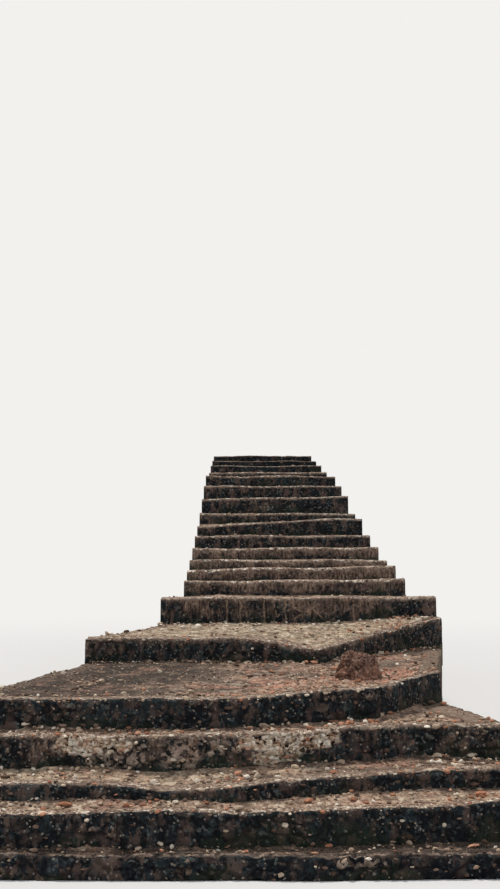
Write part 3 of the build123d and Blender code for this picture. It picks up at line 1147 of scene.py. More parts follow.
class Wiring:
    """Adds nodes to a material, a world or a group, and joins them."""

    def __init__(self, tree: bpy.types.NodeTree) -> None:
        """Keep the tree that the nodes go into."""
        self.tree = tree

    @classmethod
    def emptied(cls, holder: bpy.types.Material | bpy.types.World) -> "Wiring":
        """Turn on the nodes of a material or a world, and start with none.

        Args:
            holder: The material or the world.

        Returns:
            The empty tree's wiring.
        """
        holder.use_nodes = True
        holder.node_tree.nodes.clear()
        return cls(holder.node_tree)

    def node(self, kind: str, inputs: dict[str | int, Value] | None = None, **settings: object) -> Wire:
        """Add a node.

        Args:
            kind: Its Blender type, without the ShaderNode in front.
            inputs: What its inputs take, by name or number.
            settings: Its own options.

        Returns:
            Its first output.
        """
        made = self.tree.nodes.new(f"ShaderNode{kind}")
        for name, value in settings.items():
            setattr(made, name, value)
        for name, value in (inputs or {}).items():
            if isinstance(value, Wire):
                self.tree.links.new(value.node.outputs[value.output], made.inputs[name])
            else:
                made.inputs[name].default_value = colour(value) if isinstance(value, str) else value
        return Wire(self, made)

    def math(self, operation: str, first: Value, second: Value = 0.0) -> Wire:
        """Join two numbers by an operation, such as MULTIPLY."""
        return self.node("Math", {0: first, 1: second}, operation=operation)

    def mix(self, factor: Value, first: Value, second: Value) -> Wire:
        """Mix two colours by a factor, which is held between 0 and 1."""
        return self.node("Mix", {0: factor, 6: first, 7: second}, data_type="RGBA")[2]

    def coats(self, base: Value, layers: Sequence[tuple[Value, Value]]) -> Wire:
        """Lay colours over a base one after another, each by its own share.

        Args:
            base: The colour below.
            layers: Each layer's share and colour.

        Returns:
            The colour on top.
        """
        for share, over in layers:
            base = self.mix(share, base, over)
        return base

    def step(self, value: Value, low: float, high: float) -> Wire:
        """Rise smoothly from 0 at low to 1 at high."""
        return self.node("MapRange", {0: value, 1: low, 2: high}, interpolation_type="SMOOTHSTEP")

    def ramp(self, factor: Wire, stops: dict[float, str]) -> Wire:
        """Read a colour from a row of stops.

        Args:
            factor: Where to read.
            stops: Screen colours by their places, from 0 to 1.

        Returns:
            The colour.
        """
        made = self.node("ValToRGB", {0: factor})
        elements = made.node.color_ramp.elements
        for place, (position, code) in enumerate(stops.items()):
            element = elements[place] if place < len(elements) else elements.new(position)
            element.position = position
            element.color = colour(code)
        return made

    def value(self, name: str) -> Wire:
        """Read one of the mesh's own named values."""
        return self.node("Attribute", attribute_name=name)["Fac"]

    def noise(self, place: Wire, scale: Value, detail: float = 3.0, roughness: float = 0.55) -> Wire:
        """Noise from 0 to 1 at a place."""
        inputs = {"Vector": place, "Scale": scale, "Detail": detail, "Roughness": roughness}
        return self.node("TexNoise", inputs)

    def stretched(self, place: Wire, scale: tuple[float, float, float]) -> Wire:
        """Stretch a place along its axes."""
        return self.node("Mapping", {"Vector": place, "Scale": scale})

    def bent(self, place: Wire, scale: float, reach: float) -> Wire:
        """Bend a place by noise, to either side by half the reach.

        Args:
            place: The place.
            scale: The noise's scale.
            reach: How far the noise reaches in all.

        Returns:
            The bent place.
        """
        wander = self.noise(place, scale, roughness=0.5)["Color"]
        whole = self.node("VectorMath", {0: wander, 1: (reach,) * 3, 2: place}, operation="MULTIPLY_ADD")
        return self.node("VectorMath", {0: whole, 1: (reach / 2,) * 3}, operation="SUBTRACT")

    def use(self, group: bpy.types.NodeTree, **inputs: Value) -> Wire:
        """Place a shader node group with its own values."""
        return self.node("Group", inputs, node_tree=group)


class Effect(Wiring):
    """A shader node group: an effect that several finishes share, worked out from a place and numbers."""

    def __init__(self, name: str, *numbers: str) -> None:
        """Make the group and the inputs that it is given.

        Args:
            name: The group's name.
            numbers: Its inputs after the place, each a number.
        """
        super().__init__(bpy.data.node_groups.new(name, "ShaderNodeTree"))
        for label in ("place", *numbers):
            kind = "NodeSocketVector" if label == "place" else "NodeSocketFloat"
            self.tree.interface.new_socket(label, in_out="INPUT", socket_type=kind)
        self.given = Wire(self, self.tree.nodes.new("NodeGroupInput"))

    def give(self, **results: Wire) -> bpy.types.NodeTree:
        """Join wires to outputs of the group.

        Args:
            results: What each output takes.

        Returns:
            The finished group.
        """
        for label in results:
            self.tree.interface.new_socket(label, in_out="OUTPUT", socket_type="NodeSocketFloat")
        end = self.tree.nodes.new("NodeGroupOutput")
        for label, wire in results.items():
            self.tree.links.new(wire.node.outputs[wire.output], end.inputs[label])
        return self.tree


def speckle_effect() -> bpy.types.NodeTree:
    """Grains of random shade: cells with a random value each, and a height that is round on each.

    Returns:
        The group, with shade and height.
    """
    effect = Effect("speckle", "scale")
    cells = effect.node("TexVoronoi", {"Vector": effect.given["place"], "Scale": effect.given["scale"]})
    shade = effect.node("SeparateColor", {0: cells["Color"]})
    return effect.give(shade=shade, height=effect.step(cells["Distance"], 0.7, 0.1))


def weather_effect() -> bpy.types.NodeTree:
    """Stains that run down: broad patches, broken by noise that is stretched along Z.

    Returns:
        The group, with stain, grain and runs.
    """
    effect = Effect("weather", "amount", "scale")
    place = effect.given["place"]
    patch = effect.noise(place, effect.given["scale"], 5.0, 0.62)
    runs = effect.noise(effect.stretched(place, (1.0, 1.0, 0.16)), 34.0)
    shifted = patch * 0.68 + runs * 0.32 + effect.given["amount"] * 0.3
    return effect.give(
        stain=effect.step(shifted, 0.54, 0.70),
        grain=effect.noise(place, 95.0, 4.0, 0.7),
        runs=effect.noise(effect.stretched(place, (1.0, 1.0, 0.22)), 52.0, 3.0, 0.6),
    )


def specks_effect() -> bpy.types.NodeTree:
    """Scattered round specks: one cell in ten has one, in its middle.

    Returns:
        The group, with mask.
    """
    effect = Effect("specks", "scale")
    cells = effect.node("TexVoronoi", {"Vector": effect.given["place"], "Scale": effect.given["scale"]})
    chance = effect.node("SeparateColor", {0: cells["Color"]})[1]
    return effect.give(mask=effect.step(chance, 0.87, 0.92) * effect.step(cells["Distance"], 0.46, 0.24))


def moss_effect() -> bpy.types.NodeTree:
    """Dry moss and lichen: small patches inside broad ones.

    Returns:
        The group, with mask.
    """
    effect = Effect("moss", "amount")
    place = effect.given["place"]
    broad, small = effect.noise(place, 2.6, 2.0), effect.noise(place, 38.0, 3.0, 0.7)
    shifted = broad * 0.6 + small * 0.4 + effect.given["amount"] * 0.2
    return effect.give(mask=effect.step(shifted, 0.60, 0.68))


def stroke_effect() -> bpy.types.NodeTree:
    """A stroke on an upright face, thinning to nothing at its own width from its middle line.

    The nearest place on the line is its start plus a share of its length. The share is the
    place's projection on the line over the line's length squared, held between 0 and 1.

    Returns:
        The group, with mask.
    """
    effect = Effect("stroke", "x", "z", "across", "up", "width")
    here = effect.node("SeparateXYZ", {0: effect.given["place"]})
    across, up = effect.given["across"], effect.given["up"]
    from_x, from_z = here["X"] - effect.given["x"], here["Z"] - effect.given["z"]
    share = ((from_x * across + from_z * up) / (across * across + up * up)).clamped()
    off_x, off_z = from_x - share * across, from_z - share * up
    away = effect.math("SQRT", off_x * off_x + off_z * off_z)
    return effect.give(mask=(1.0 - away / effect.given["width"]).clamped())


@dataclass(frozen=True)
class Effects:
    """The effects that the finishes share, each built once."""

    speckle: bpy.types.NodeTree = field(default_factory=speckle_effect)
    weather: bpy.types.NodeTree = field(default_factory=weather_effect)
    specks: bpy.types.NodeTree = field(default_factory=specks_effect)
    moss: bpy.types.NodeTree = field(default_factory=moss_effect)
    stroke: bpy.types.NodeTree = field(default_factory=stroke_effect)


@dataclass(frozen=True)
class Finish:
    """What every finish has: its name, the effects that it places, and how rough it is."""

    name: str
    effects: Effects
    roughness: float = 0.95
    sheen: float = 0.08
    relief: float = 0.008

    def look(self, wiring: Wiring, place: Wire) -> tuple[Wire, Wire]:
        """Work out the colour, and the height from 0 to 1, at a place on the object.

        Args:
            wiring: The material's nodes.
            place: The place on the object.

        Returns:
            The colour and the height.
        """
        raise NotImplementedError

    def build(self) -> bpy.types.Material:
        """Make the material.

        Returns:
            The material.
        """
        material = bpy.data.materials.new(self.name)
        wiring = Wiring.emptied(material)
        base, height = self.look(wiring, wiring.node("TexCoord")["Object"])
        bump = wiring.node("Bump", {"Height": height, "Distance": self.relief, "Strength": 0.8})
        inputs = {"Base Color": base, "Normal": bump, "Roughness": self.roughness}
        inputs["Specular IOR Level"] = self.sheen
        wiring.node("OutputMaterial", {"Surface": wiring.node("BsdfPrincipled", inputs)})
        return material


@dataclass(frozen=True)
class Stroke:
    """A pale lime run or crack on a kerb's face, from one (x, z) place to another."""

    start: tuple[float, float]
    end: tuple[float, float]
    width: float


@dataclass(frozen=True)
class KerbFinish(Finish):
    """Stained render over rubble with painted shade, a pale worn nosing that is partly a painted highlight,
    lime runs and moss low on the face.
    """

    render: str = "604d46"
    patched: str = "80685e"
    strokes: tuple[Stroke, ...] = ()

    def stain(self, wiring: Wiring, place: Wire, nuts: Wire, stones: Wire, small: Wire) -> Wire:
        """Colour the dark stains, partly painted shade: cold with brown and teal clouds, and brown where a
        stone stands out.

        Args:
            wiring: The material's nodes.
            place: The place on the object.
            nuts: Grains the size of a nut.
            stones: Grains the size of a stone.
            small: The small grains' colour.

        Returns:
            The colour.
        """
        # The cold blue-black is partly painted shade, the colour of shade lit by the sky.
        cold = wiring.ramp(nuts, {0.0: "080b0e", 0.5: "12191d", 0.84: "243036", 0.98: "565c5a"})
        cloudy = wiring.noise(wiring.stretched(place, (1.0, 1.0, 0.5)), 13.0, 6.0, 0.70)
        teal = wiring.noise(wiring.stretched(place, (1.0, 1.0, 0.6)), 9.0, 4.0, 0.65)
        layers = (
            (wiring.step(cloudy, 0.50, 0.58) * 0.85, "62514a"),
            (wiring.step(teal, 0.54, 0.63) * 0.42, "374649"),
            (wiring.step(stones, 0.80, 0.95) * wiring.value("shown"), wiring.mix(0.5, "4d3f39", small)),
        )
        return wiring.coats(cold, layers)

    def broken(self, wiring: Wiring, nuts: Wire, stones: Wire, bits: Wire) -> Wire:
        """Colour the broken places: pale rubble, darker between its bits and where it is hardly bare.

        Args:
            wiring: The material's nodes.
            nuts: Grains the size of a nut.
            stones: Grains the size of a stone.
            bits: Grains of a size between them.

        Returns:
            The colour.
        """
        stops = {0.12: "1a1718", 0.20: "7a5e4d", 0.30: "cfa88b", 0.44: "f4d9bb", 0.62: "fff3e0"}
        thin = 1.0 - wiring.step(wiring.value("bare"), 0.3, 0.6)
        layers = (
            ((1.0 - bits["height"]) * 0.30, "3a2e28"),
            (thin * 0.78, wiring.mix(nuts, "5c4439", "94776a")),
        )
        return wiring.coats(wiring.ramp(stones * 0.35 + bits * 0.65, stops), layers)

    def face(self, wiring: Wiring, place: Wire, weather: Wire) -> Wire:
        """Colour the face.

        Render and rubble come first, then the streaks and dark stains, partly painted shade, a
        near-black painted shade on the dampest kerbs, the dust under the nosing, the broken places,
        painted shade in the hollows, the joints between stones, pale specks, moss and lime.

        Args:
            wiring: The material's nodes.
            place: The place on the object.
            weather: The stains, grain and runs there.

        Returns:
            The colour.
        """
        bent = wiring.bent(place, 22.0, 0.030)
        grains = self.effects.speckle
        stones, nuts, bits = (wiring.use(grains, place=bent, scale=scale) for scale in (23.0, 58.0, 36.0))
        pieces = wiring.ramp(stones, {0.0: "322b28", 0.35: "5c4b43", 0.7: "83705f", 1.0: "ab9682"})
        small = wiring.ramp(nuts, {0.0: "2c2624", 0.4: "5e4f47", 0.8: "85705f", 1.0: "c0ab96"})
        dust = wiring.ramp(nuts, {0.0: "5d4e46", 0.5: "8f7b6d", 1.0: "bba48f"})
        patch = wiring.step(wiring.noise(place, 6.0, 6.0, 0.7), 0.40, 0.62)
        shown, bare = wiring.value("shown"), wiring.value("bare")
        streaked = 1.0 - shown * 0.7
        moss = wiring.use(self.effects.moss, place=place, amount=0.8 - wiring.value("climb"))
        layers = (
            (shown * 0.4 + 0.22, pieces),
            (0.32, small),
            (wiring.step(weather["grain"], 0.52, 0.76) * 0.55, "b3a08e"),
            (streaked * wiring.step(weather["runs"], 0.50, 0.38) * 0.75, "1f1b1b"),
            (streaked * wiring.step(weather["runs"], 0.52, 0.66) * 0.55, "a68f7e"),
            # Dark stains, partly painted shade, which spread more where the kerb is damper.
            (weather["stain"] * 0.96, self.stain(wiring, place, nuts, stones, small)),
            # Painted shade: near-black on the dampest kerbs, which lie in deep shade.
            (wiring.step(wiring.value("damp"), 1.2, 2.4) * 0.65, "0b0f13"),
            (wiring.value("dusted") * 0.62, dust),
            (wiring.step(bare + bits * 0.5, 0.50, 0.62) * 0.95, self.broken(wiring, nuts, stones, bits)),
            (wiring.value("crack") * bare * 0.55, "241d1a"),
            # Painted shade in the recesses.
            (wiring.value("cavity") * 0.6, "14161a"),
            (wiring.value("joint") * 0.7, "15151a"),
            (wiring.use(self.effects.specks, place=bent, scale=48.0) * 0.55, "a79c90"),
            (moss * 0.45, "2b3324"),
            (self.lime(wiring, place) * 0.8, "a38a76"),
        )
        return wiring.coats(wiring.mix(patch, self.render, self.patched), layers)

    def lime(self, wiring: Wiring, place: Wire) -> Wire:
        """How much lime there is: the strongest stroke at a place, broken up by noise.

        Args:
            wiring: The material's nodes.
            place: The place on the object.

        Returns:
            The amount, from 0 to 1.
        """
        gaps = wiring.step(wiring.noise(place, 45.0), 0.3, 0.65)
        place = wiring.bent(place, 16.0, 0.022)
        runs: Value = 0.0
        for stroke in self.strokes:
            (x, z), (x_end, z_end) = stroke.start, stroke.end
            line = {"x": x, "z": z, "across": x_end - x, "up": z_end - z, "width": stroke.width}
            runs = wiring.math("MAXIMUM", runs, wiring.use(self.effects.stroke, place=place, **line))
        return gaps * runs

    def look(self, wiring: Wiring, place: Wire) -> tuple[Wire, Wire]:
        """Work out the colour of face, tread and worn nosing, with painted shade and highlight, and the
        height.

        Args:
            wiring: The material's nodes.
            place: The place on the object.

        Returns:
            The colour and the height.
        """
        speckle = wiring.use(self.effects.speckle, place=place, scale=95.0)
        weather = wiring.use(self.effects.weather, place=place, amount=wiring.value("damp"), scale=4.5)
        beads = wiring.use(self.effects.speckle, place=wiring.bent(place, 30.0, 0.02), scale=34.0)
        stops = {0.18: "241e1d", 0.38: "66544a", 0.52: "9c8573", 0.66: "d9c5af", 0.78: "fff8ea"}
        worn = wiring.ramp(beads * 0.6 + speckle * 0.4, stops)
        # A tread turns near-black on the shaded kerbs: painted shade.
        dusty = wiring.mix(wiring.value("clean"), "181a1c", wiring.mix(speckle, "6d584c", "9c8573"))
        breaking = wiring.step(wiring.noise(place, 30.0, 4.0, 0.7), 0.34, 0.62) * 0.80 + 0.20
        faded = wiring.step(wiring.noise(place, 2.8), 0.30, 0.52) * 0.6 + 0.4
        grain = wiring.step(weather["grain"], 0.42, 0.75) * (0.35 - wiring.value("bare") * 0.28)
        layers = (
            (wiring.value("tread") * 0.9, dusty),
            # The pale nosing: worn paleness and partly a painted highlight.
            (wiring.value("light") * breaking * faded, worn),
            (grain * 0.6, "1d1815"),
        )
        base = wiring.coats(self.face(wiring, place, weather), layers)
        return base, weather["grain"] * 0.6 + speckle["height"] * 0.4


# Shades of the gravel's grains, by their share of the way from dark to pale.
GRAINS = {0.0: "3b302a", 0.15: "75604f", 0.5: "988270", 0.8: "b8a48c", 1.0: "ddd2c0"}


@dataclass(frozen=True)
class BedFinish(Finish):
    """Packed gravel and earth: tan dust with cream, brown and tile-red grains."""

    def look(self, wiring: Wiring, place: Wire) -> tuple[Wire, Wire]:
        """Work out the colour of earth and gravel, and the height.

        Args:
            wiring: The material's nodes.
            place: The place on the object.

        Returns:
            The colour and the height.
        """
        coarse, fine = (wiring.use(self.effects.speckle, place=place, scale=size) for size in (42.0, 110.0))
        weather = wiring.use(self.effects.weather, place=place, amount=0.15, scale=3.0)
        pale, rosy, dark, behind = (wiring.value(name) for name in ("pale", "rosy", "dark", "behind"))
        broad, fair = (wiring.noise(place, scale, 5.0, 0.6) for scale in (2.4, 3.4))
        earth = wiring.ramp(broad, {0.3: "6c5449", 0.5: "8a6e5f", 0.7: "a68770"})
        light = wiring.ramp(fair, {0.3: "8e836b", 0.5: "a89e85", 0.7: "bab197"})
        grains = wiring.ramp(fine, GRAINS)
        stops = {0.0: "463730", 0.2: "816856", 0.6: "a08875", 0.85: "c6b39a", 0.93: "a87660", 1.0: "946049"}
        pebbles = wiring.ramp(coarse, stops)
        tiles = wiring.ramp(fine, {0.0: "6b4334", 0.5: "a8705a", 0.8: "cf9c80", 1.0: "e6cdb4"})
        pink = wiring.mix(wiring.step(wiring.noise(place, 6.0, 2.0), 0.45, 0.55), "e6d8c2", "c49d88")
        mottled = wiring.noise(wiring.stretched(place, (1.0, 0.6, 1.0)), 15.0, 5.0, 0.65)
        trodden_and_shade = wiring.noise(wiring.stretched(place, (0.7, 1.2, 1.0)), 3.2, 6.0, 0.70)
        patches = wiring.step(wiring.noise(place, 5.0, 5.0, 0.7), 0.42, 0.58) * 1.1 + 0.25
        strewn = wiring.step(wiring.noise(place, 12.0, 5.0, 0.7), 0.42, 0.56)
        layers = (
            (pale, light),
            (0.45, grains),
            (wiring.step(wiring.noise(place, 9.0), 0.40, 0.60) * 0.5, pebbles),
            (wiring.step(wiring.noise(place, 1.6, 4.0, 0.6), 0.36, 0.66) * rosy * 0.55, "99685a"),
            # Darker where trodden; on the darkest beds this darkening is partly painted shade.
            (wiring.step(trodden_and_shade, 0.42, 0.55) * dark, wiring.mix(0.25, "3d3330", grains)),
            # Painted shade: near-black patches on the beds that lie in deep shade.
            ((dark - 1.0).clamped() * patches, wiring.mix(0.12, "191a1d", grains)),
            (wiring.step(mottled, 0.48, 0.42) * 0.62, "4c3e38"),
            (wiring.step(mottled, 0.53, 0.59) * 0.55 * (1.0 - dark * 0.6), pink),
            ((rosy - 1.0).clamped() * strewn * wiring.step(coarse, 0.25, 0.40) * 0.8, tiles),
            # Painted shade in the crease at the foot of the next kerb.
            (wiring.step(behind, 0.06, 0.0) * 0.2, "463830"),
            (weather["stain"] * 0.5, "4d4038"),
        )
        return wiring.coats(earth, layers), coarse["height"] * 0.6 + fine["height"] * 0.4


@dataclass(frozen=True)
class WallFinish(Finish):
    """Rubble stones of several browns and greys in earth mortar."""

    def look(self, wiring: Wiring, place: Wire) -> tuple[Wire, Wire]:
        """Work out the colour of stones, mortar and gravelled top, and the height.

        Args:
            wiring: The material's nodes.
            place: The place on the object.

        Returns:
            The colour and the height.
        """
        speckle = wiring.use(self.effects.speckle, place=place, scale=80.0)
        weather = wiring.use(self.effects.weather, place=place, amount=0.25, scale=2.5)
        stops = {0.0: "4a423d", 0.3: "66584d", 0.55: "776859", 0.8: "8a7866", 1.0: "a18d76"}
        grains = wiring.ramp(speckle, {0.0: "3b302a", 0.2: "75604f", 0.6: "988270", 1.0: "c9b9a5"})
        earth = wiring.mix(wiring.step(wiring.noise(place, 3.0, 4.0), 0.35, 0.65), "6c584c", "927d6c")
        shaded = (wiring.value("dark") * 0.6, wiring.mix(0.25, "3d3330", grains))
        layers = (
            (wiring.step(wiring.noise(place, 14.0, 5.0, 0.65), 0.35, 0.65) * 0.35, "54473a"),
            (speckle * 0.2, "b5a184"),
            (wiring.value("joint") * 0.8, "4a3d31"),
            (weather["stain"] * 0.7, "2f2a26"),
            (wiring.use(self.effects.moss, place=place, amount=0.15) * 0.55, "454c33"),
            (wiring.value("top"), wiring.coats(earth, ((0.5, grains), shaded))),
        )
        base = wiring.coats(wiring.ramp(wiring.value("tint"), stops), layers)
        return base, weather["grain"] * 0.5 + speckle["height"] * 0.5


@dataclass(frozen=True)
class LumpFinish(Finish):
    """Reddish-brown earth and mortar, dark in its pits and dusty on top."""

    def look(self, wiring: Wiring, place: Wire) -> tuple[Wire, Wire]:
        """Work out the colour of mortar, pits and crumbs, and the height.

        Args:
            wiring: The material's nodes.
            place: The place on the object.

        Returns:
            The colour and the height.
        """
        speckle = wiring.use(self.effects.speckle, place=place, scale=80.0)
        weather = wiring.use(self.effects.weather, place=place, amount=0.2, scale=8.0)
        stops = {0.0: "1e1715", 0.4: "46322b", 0.75: "84614f", 1.0: "b08b78"}
        crumbs = wiring.ramp(speckle, {0.0: "1d1614", 0.5: "6d4f42", 1.0: "c9a48f"})
        dusty = wiring.step(wiring.noise(place, 7.0, 4.0, 0.65), 0.50, 0.62)
        layers = (
            (wiring.value("pit") * 0.8, "1c1614"),
            (0.38, crumbs),
            (dusty * 0.6, wiring.mix(0.4, "b18672", crumbs)),
            (weather["stain"] * 0.7, "241f1d"),
        )
        return wiring.coats(wiring.ramp(wiring.value("tint"), stops), layers), weather["grain"]


@dataclass(frozen=True)
class CoreFinish(Finish):
    """Earth and rubble fill, which the beds and kerbs cover."""

    relief: float = 0.010

    def look(self, wiring: Wiring, place: Wire) -> tuple[Wire, Wire]:
        """Work out the colour of earth and stones, and the height.

        Args:
            wiring: The material's nodes.
            place: The place on the object.

        Returns:
            The colour and the height.
        """
        speckle = wiring.use(self.effects.speckle, place=place, scale=30.0)
        earth = wiring.ramp(speckle, {0.0: "3a3029", 0.6: "6d5a49", 1.0: "95806a"})
        patch = wiring.step(wiring.noise(place, 5.0, 4.0), 0.4, 0.6)
        return wiring.mix(patch, earth, "54463a"), speckle["height"]


@dataclass(frozen=True)
class ChipFinish(Finish):
    """Loose chips: browns and creams, white stones and tile red, by each chip's own tint."""

    relief: float = 0.002

    def look(self, wiring: Wiring, place: Wire) -> tuple[Wire, Wire]:
        """Work out the colour of a chip, and the height.

        Args:
            wiring: The material's nodes.
            place: The place on the object.

        Returns:
            The colour and the height.
        """
        grain = wiring.use(self.effects.weather, place=place, amount=0.1, scale=30.0)["grain"]
        stones = {0.0: "2f2826", 0.2: "614e44", 0.45: "927c6c", 0.62: "bea993"}
        white, tiles = {0.70: "d8c8b3", 0.79: "efe6d8"}, {0.80: "c99a80", 0.90: "b27c61", 1.0: "845b47"}
        base = wiring.ramp(wiring.value("tint"), stones | white | tiles)
        return wiring.mix(grain * 0.3, base, "5d4937"), grain


@dataclass
class Studio:
    """The plain floor, the light and the camera."""

    backdrop: str = "f2f1ee"
    floor_reach: float = 90.0
    floor_height: float = -0.002
    floor_shade: float = 0.60

    @staticmethod
    def seen(wiring: Wiring) -> Wire:
        """1 for rays from the camera, and for reflections and refractions of what it sees."""
        path = wiring.node("LightPath")
        return (path["Is Camera Ray"] + path["Is Glossy Ray"] + path["Is Transmission Ray"]).clamped()

    def floor(self) -> None:
        """Lay a plain floor that fades into the backdrop away from the steps.

        Near the steps it is matt and takes their shadow. From 8 to 19 metres away it turns into
        the backdrop's own colour, for the camera and for reflections alone.
        """
        sides = ((-1, -1), (1, -1), (1, 1), (-1, 1))
        corners = [(x * self.floor_reach, y * self.floor_reach, self.floor_height) for x, y in sides]
        mesh = bpy.data.meshes.new("floor")
        mesh.from_pydata(corners, [], [(0, 1, 2, 3)])
        floor = bpy.data.objects.new("floor", mesh)
        bpy.context.scene.collection.objects.link(floor)
        material = bpy.data.materials.new("pale_floor")
        wiring = Wiring.emptied(material)
        place = wiring.node("TexCoord")["Object"]
        away = wiring.node("VectorMath", {0: place}, operation="LENGTH")["Value"]
        matt = wiring.node("BsdfDiffuse", {"Color": (self.floor_shade,) * 3 + (1.0,)})
        glow = wiring.node("Emission", {"Color": self.backdrop, "Strength": 1.0})
        share = self.seen(wiring) * wiring.step(away, 8.0, 19.0)
        wiring.node("OutputMaterial", {"Surface": wiring.node("MixShader", {0: share, 1: matt, 2: glow})})
        mesh.materials.append(material)
        floor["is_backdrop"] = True

    def light(self) -> None:
        """Light the steps softly from above and a little behind, with even light from all round."""
        world = bpy.data.worlds.new("studio")
        bpy.context.scene.world = world
        wiring = Wiring.emptied(world)
        even = wiring.node("Background", {"Color": (0.93, 0.96, 1.0, 1.0), "Strength": 0.46})
        shown = wiring.node("Background", {"Color": self.backdrop, "Strength": 1.0})
        both = wiring.node("MixShader", {0: self.seen(wiring), 1: even, 2: shown})
        wiring.node("OutputWorld", {"Surface": both})
        for name, power, spread, angles, tone in (
            ("key", 3.1, 7.0, (-20.0, -22.0, 0.0), (1.0, 0.95, 0.89)),
            ("fill", 0.60, 60.0, (58.0, 0.0, 24.0), (0.93, 0.96, 1.0)),
        ):
            lamp = bpy.data.lights.new(name, "SUN")
            lamp.energy = power
            lamp.angle = math.radians(spread)
            lamp.color = tone
            held = bpy.data.objects.new(name, lamp)
            held.rotation_euler = [math.radians(angle) for angle in angles]
            bpy.context.scene.collection.objects.link(held)

    def camera(self) -> None:
        """Set the camera where the photograph was taken, looking uphill and slightly up."""
        low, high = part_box("back_wall")
        data = bpy.data.cameras.new("eye")
        data.sensor_width = SENSOR
        data.lens = LENS
        eye = bpy.data.objects.new("eye", data)
        eye.location = ((low[0] + high[0]) / 2 - EYE_LEFT_OF_BACK, high[1] - EYE_TO_BACK, EYE_HEIGHT)
        eye.rotation_euler = (math.radians(90 + EYE_PITCH_DEGREES), 0, 0)
        bpy.context.scene.collection.objects.link(eye)
        bpy.context.scene.camera = eye

    def build(self) -> None:
        """Make the floor, the light and the camera."""
        self.floor()
        self.light()
        self.camera()
        bpy.context.scene.view_settings.view_transform = "Standard"


LOWER_CHIPS = (
    Strewing(Chip.GRIT, 380.0, 0.4),
    Strewing(Chip.STONE, 170.0, 0.5, to_edge=0.5),
    Strewing(Chip.PALE, 130.0, 0.7, to_edge=0.5),
    Strewing(Chip.TILE, 100.0, 0.8, to_right=0.35, to_edge=0.4),
)
LANDING_CHIPS = (
    Strewing(Chip.GRIT, 260.0, 0.5),
    Strewing(Chip.CREAM, 120.0, 0.7, to_edge=0.4),
    Strewing(Chip.STONE, 60.0, 0.6, to_edge=0.5),
    Strewing(Chip.PALE, 26.0, 0.6, to_edge=0.5),
    Strewing(Chip.TILE, 22.0, 0.7, to_right=1.3, to_edge=0.5),
)
PALE_CHIPS = (
    Strewing(Chip.CREAM, 330.0, 0.4),
    Strewing(Chip.PALE, 90.0, 0.5, to_edge=0.3),
    Strewing(Chip.STONE, 40.0, 0.5, to_edge=0.3),
    Strewing(Chip.TILE, 14.0, 0.6, to_right=0.8, to_edge=0.4),
)
UPPER_CHIPS = (
    Strewing(Chip.GRIT, 200.0, 0.4),
    Strewing(Chip.STONE, 40.0, 0.5, to_edge=0.5),
    Strewing(Chip.PALE, 16.0, 0.6, to_edge=0.3),
    Strewing(Chip.TILE, 4.0, 0.8, to_edge=0.5),
)

# Stones that stand out of the kerbs: how many, and the share of each kind.
FACE_STONES = {Chip.GRIT: 0.42, Chip.STONE: 0.12, Chip.PALE: 0.38, Chip.TILE: 0.05, Chip.DARK: 0.03}
FACE_STONES_PER_SQUARE_METRE = 2300.0
NOSING_STONES = {Chip.CREAM: 0.30, Chip.STONE: 0.25, Chip.PALE: 0.33, Chip.TILE: 0.12}
NOSING_STONES_PER_METRE = 34.0
NOSING_GRIT = {Chip.CREAM: 0.85, Chip.PALE: 0.15}
NOSING_GRIT_PER_METRE = 16.0
LAST_GRITTY_KERB = 18

# Large white pieces on the middle landing, by their shares of the way across and back.
WHITE_PIECES = np.array(
    [(0.10, 0.60), (0.12, 0.80), (0.145, 0.66), (0.165, 0.84), (0.185, 0.72), (0.13, 0.45)]
)

# Kerbs 1, 2, 5 and 19 to 21 are damper partly as painted shade, for they lie in shade, and kerbs 1 and 19 to
# 21 have dim nosings for the same reason; the worn value also sets how strong the painted nosing highlight
# is.
WEARS = {
    1: Wear(1.45, 0.03, 0.008, 0.030),
    2: Wear(1.35, 0.90, 0.012, 0.026),
    3: Wear(0.70, 0.75, 0.014, 0.024),
    4: Wear(0.60, 0.75, 0.030, 0.010),
    5: Wear(1.20, 0.72, 0.012, 0.026),
    6: Wear(0.85, 0.78, 0.050, 0.020),
    7: Wear(0.35, 0.85, 0.030, -0.010),
    8: Wear(0.25, 1.00, 0.035, -0.016),
    9: Wear(0.00, 1.00, 0.050, -0.018),
    10: Wear(0.05, 1.00, 0.045, -0.018),
    11: Wear(0.20, 0.95, 0.040, -0.018),
    13: Wear(0.60, 0.60, 0.020),
    19: Wear(1.50, 0.40, 0.008),
    20: Wear(2.00, 0.08, 0.002),
    21: Wear(2.10, 0.06, 0.002),
}
HOLLOWS = {
    1: (Hollow(0.68, 0.34, 0.008, 0.5, 1.0, 0.24),),
    4: (
        Hollow(-0.95, 0.62, 0.026, 0.48, 1.0),
        Hollow(-0.80, 0.60, 0.012, 0.10, 0.8, 0.34),
        Hollow(-0.26, 0.62, 0.012, 0.25, 1.0, 0.34),
        Hollow(0.32, 0.90, 0.034, 0.45, 1.0),
        Hollow(0.20, 0.36, 0.026, 0.05, 0.5),
    ),
}

# Pale runs and cracks on the tall kerb: straight drips from the nosing, then a crossing group.
DRIPS = (-0.148, -0.022, 0.21, 0.414, 1.07)
DRIP_TOP, DRIP_FOOT, DRIP_LEAN, DRIP_WIDTH = 1.29, 1.08, 0.004, 0.014
CRACKS = (
    ((0.30, 1.28), (0.33, 1.14)), ((0.34, 1.14), (0.45, 1.27)), ((0.42, 1.26), (0.61, 1.17)),
    ((0.37, 1.18), (0.57, 1.24)), ((0.50, 1.12), (0.74, 1.26)), ((0.63, 1.27), (0.77, 1.13)),
)
CRACK_WIDTH = 0.012


